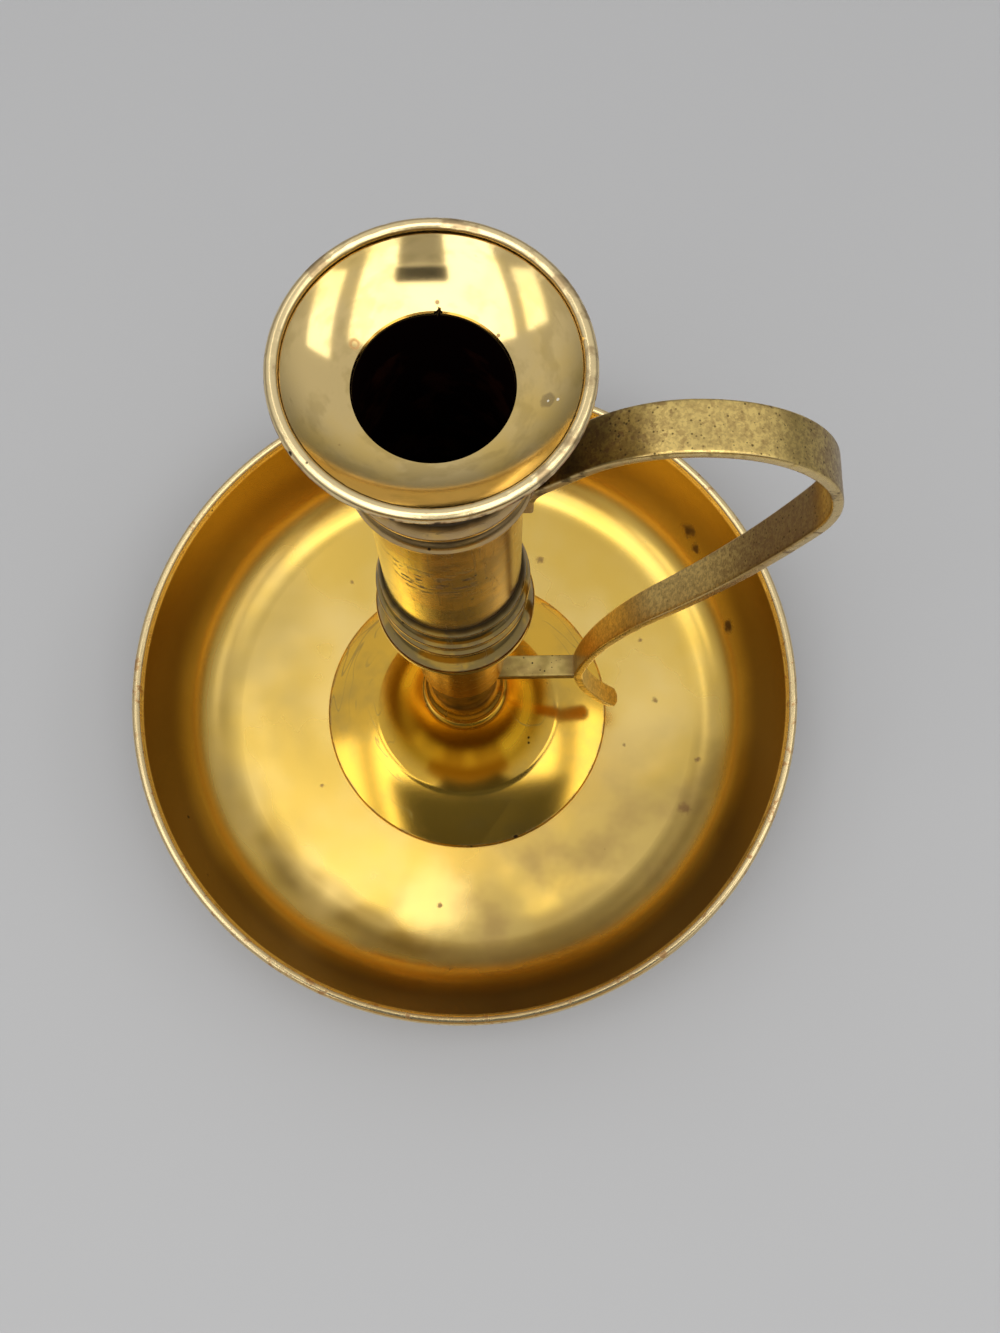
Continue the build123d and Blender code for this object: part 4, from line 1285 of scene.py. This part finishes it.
class FinishFixings(bpy.types.Operator):
    """Give the tie rod, the washer and the nut their steel"""

    bl_idname = "chamberstick.fixings"
    bl_label = "Rod, washer and nut"

    def execute(self, context):
        steel = fixing_steel(context.scene.chamberstick)
        for node in ("tie_rod", "base_washer", "base_nut"):
            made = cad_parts[node]
            made.data.materials.clear()
            made.data.materials.append(steel)
        return {"FINISHED"}


class MakeStage(bpy.types.Operator):
    """Lay the floor, hang the lamps and place the camera"""

    bl_idname = "chamberstick.stage"
    bl_label = "Stage"

    def camera(self, stage):
        """The photograph's own viewpoint."""
        data = bpy.data.cameras.new("camera")
        data.lens, data.sensor_width = stage.focal, SENSOR_WIDTH
        data.clip_start, data.clip_end = stage.near, stage.far
        made = linked("camera", data)
        down = Matrix.Rotation(pi / 2 - stage.pitch, 4, "X")
        turn = Matrix.Rotation(-stage.roll, 4, "Z")
        place = Matrix.Translation((stage.camera_x, stage.camera_y, stage.camera_z))
        made.matrix_world = place @ down @ turn
        bpy.context.scene.camera = made

    def world(self, stage):
        """Plain light grey, darker towards the horizon."""
        made = bpy.data.worlds.new("studio")
        made.use_nodes = True
        nodes = Nodes(made.node_tree)
        height = nodes.axis(nodes.node("ShaderNodeTexCoord", output="Generated"), 2)
        level = nodes.ramp(height, sin(stage.dusk_start), sin(stage.dusk_end))
        grey = nodes.mix(level, tuple(stage.dusk), tuple(stage.sky))
        nodes.feed(made.node_tree.nodes["Background"].inputs["Color"], grey)
        bpy.context.scene.world = made

    def paint(self, name, base, glow=(0.0, 0.0, 0.0)):
        """A dead flat colour, or one that gives off its own light."""
        made = bpy.data.materials.new(name)
        made.use_nodes = True
        shader = made.node_tree.nodes["Principled BSDF"]
        shader.inputs["Base Color"].default_value = (*base, 1)
        shader.inputs["Roughness"].default_value = 1.0
        shader.inputs["Specular IOR Level"].default_value = 0.0
        shader.inputs["Emission Color"].default_value = (*glow, 1)
        shader.inputs["Emission Strength"].default_value = 1.0
        return made

    def floor(self, stage):
        """A plain disc under the object."""
        mesh = bmesh.new()
        bmesh.ops.create_circle(mesh, cap_ends=True, segments=96, radius=stage.floor_radius)
        made = linked("floor", mesh_data("floor", mesh, self.paint("floor", stage.floor)))

    def panel(self, name, left, right, near, far, radiance):
        """A soft box that hangs level over the object. Its face has the radiance given."""
        data = bpy.data.lights.new(name, "AREA")
        data.shape, data.size, data.size_y = "RECTANGLE", right - left, far - near
        data.energy = radiance * pi * data.size * data.size_y
        made = linked(name, data)
        made.location = ((left + right) / 2, (near + far) / 2, PANEL_LEVEL)
        made.visible_camera = False

    def card(self, name, centre, size, tilt, shade):
        """A board that only reflections see: it shapes the highlights and throws no shadow."""
        mesh = bmesh.new()
        bmesh.ops.create_cube(mesh, size=1.0)
        bmesh.ops.scale(mesh, vec=size, verts=mesh.verts)
        bmesh.ops.bevel(mesh, geom=mesh.edges[:], offset=min(size) * CARD_ROUND_SHARE, segments=4,
                        profile=0.5, affect="EDGES", material=-1)
        lean = Matrix.Rotation(tilt, 3, "X")
        bmesh.ops.rotate(mesh, cent=(0, 0, 0), matrix=lean, verts=mesh.verts)
        bmesh.ops.translate(mesh, vec=centre, verts=mesh.verts)
        made = linked(name, mesh_data(name, mesh, self.paint(name, (0.0, 0.0, 0.0), shade)))
        made.visible_camera = made.visible_diffuse = made.visible_shadow = False

    def execute(self, context):
        stage = context.scene.chamberstick.stage
        self.camera(stage)
        self.world(stage)
        self.floor(stage)
        for name, *edges, level in PANELS:
            self.panel(name, *edges, getattr(stage, level))
        for name, centre, size, shade in LEANING_CARDS:
            self.card(name, centre, size, pi / 2 - stage.pitch, shade)
        for name, centre, size, shade in UPRIGHT_CARDS:
            self.card(name, centre, size, 0.0, shade)
        context.scene.view_settings.view_transform = "Standard"
        return {"FINISHED"}


class ChamberstickPanel(bpy.types.Panel):
    """Lists the steps that build the chamberstick"""

    bl_idname = "VIEW3D_PT_chamberstick"
    bl_label = "Chamberstick"
    bl_space_type = "VIEW_3D"
    bl_region_type = "UI"
    bl_category = "Chamberstick"

    def draw(self, context):
        """One button for each step."""
        for step in STEPS:
            self.layout.operator(step.bl_idname)


GROUPS = (
    ChamberstickPan, ChamberstickStem, ChamberstickSocket, ChamberstickHandle, ChamberstickFinish,
    ChamberstickStage, Chamberstick,
)
STEPS = (
    MakePan, MakeFoot, MakeStem, MakeTube, MakeNeck, MakeNozzle, MakeHandle, FinishFixings, MakeStage,
)


def register():
    """Makes the groups, the steps and the panel known to Blender."""
    for made in (*GROUPS, *STEPS, ChamberstickPanel):
        bpy.utils.register_class(made)
    bpy.types.Scene.chamberstick = bpy.props.PointerProperty(type=Chamberstick)


def unregister():
    """Takes them away again."""
    del bpy.types.Scene.chamberstick
    for made in reversed((*GROUPS, *STEPS, ChamberstickPanel)):
        bpy.utils.unregister_class(made)


def main():
    """Builds every piece and the stage."""
    register()
    for step in STEPS:
        group, name = step.bl_idname.split(".")
        getattr(getattr(bpy.ops, group), name)()


if __name__ == "__main__":
    main()
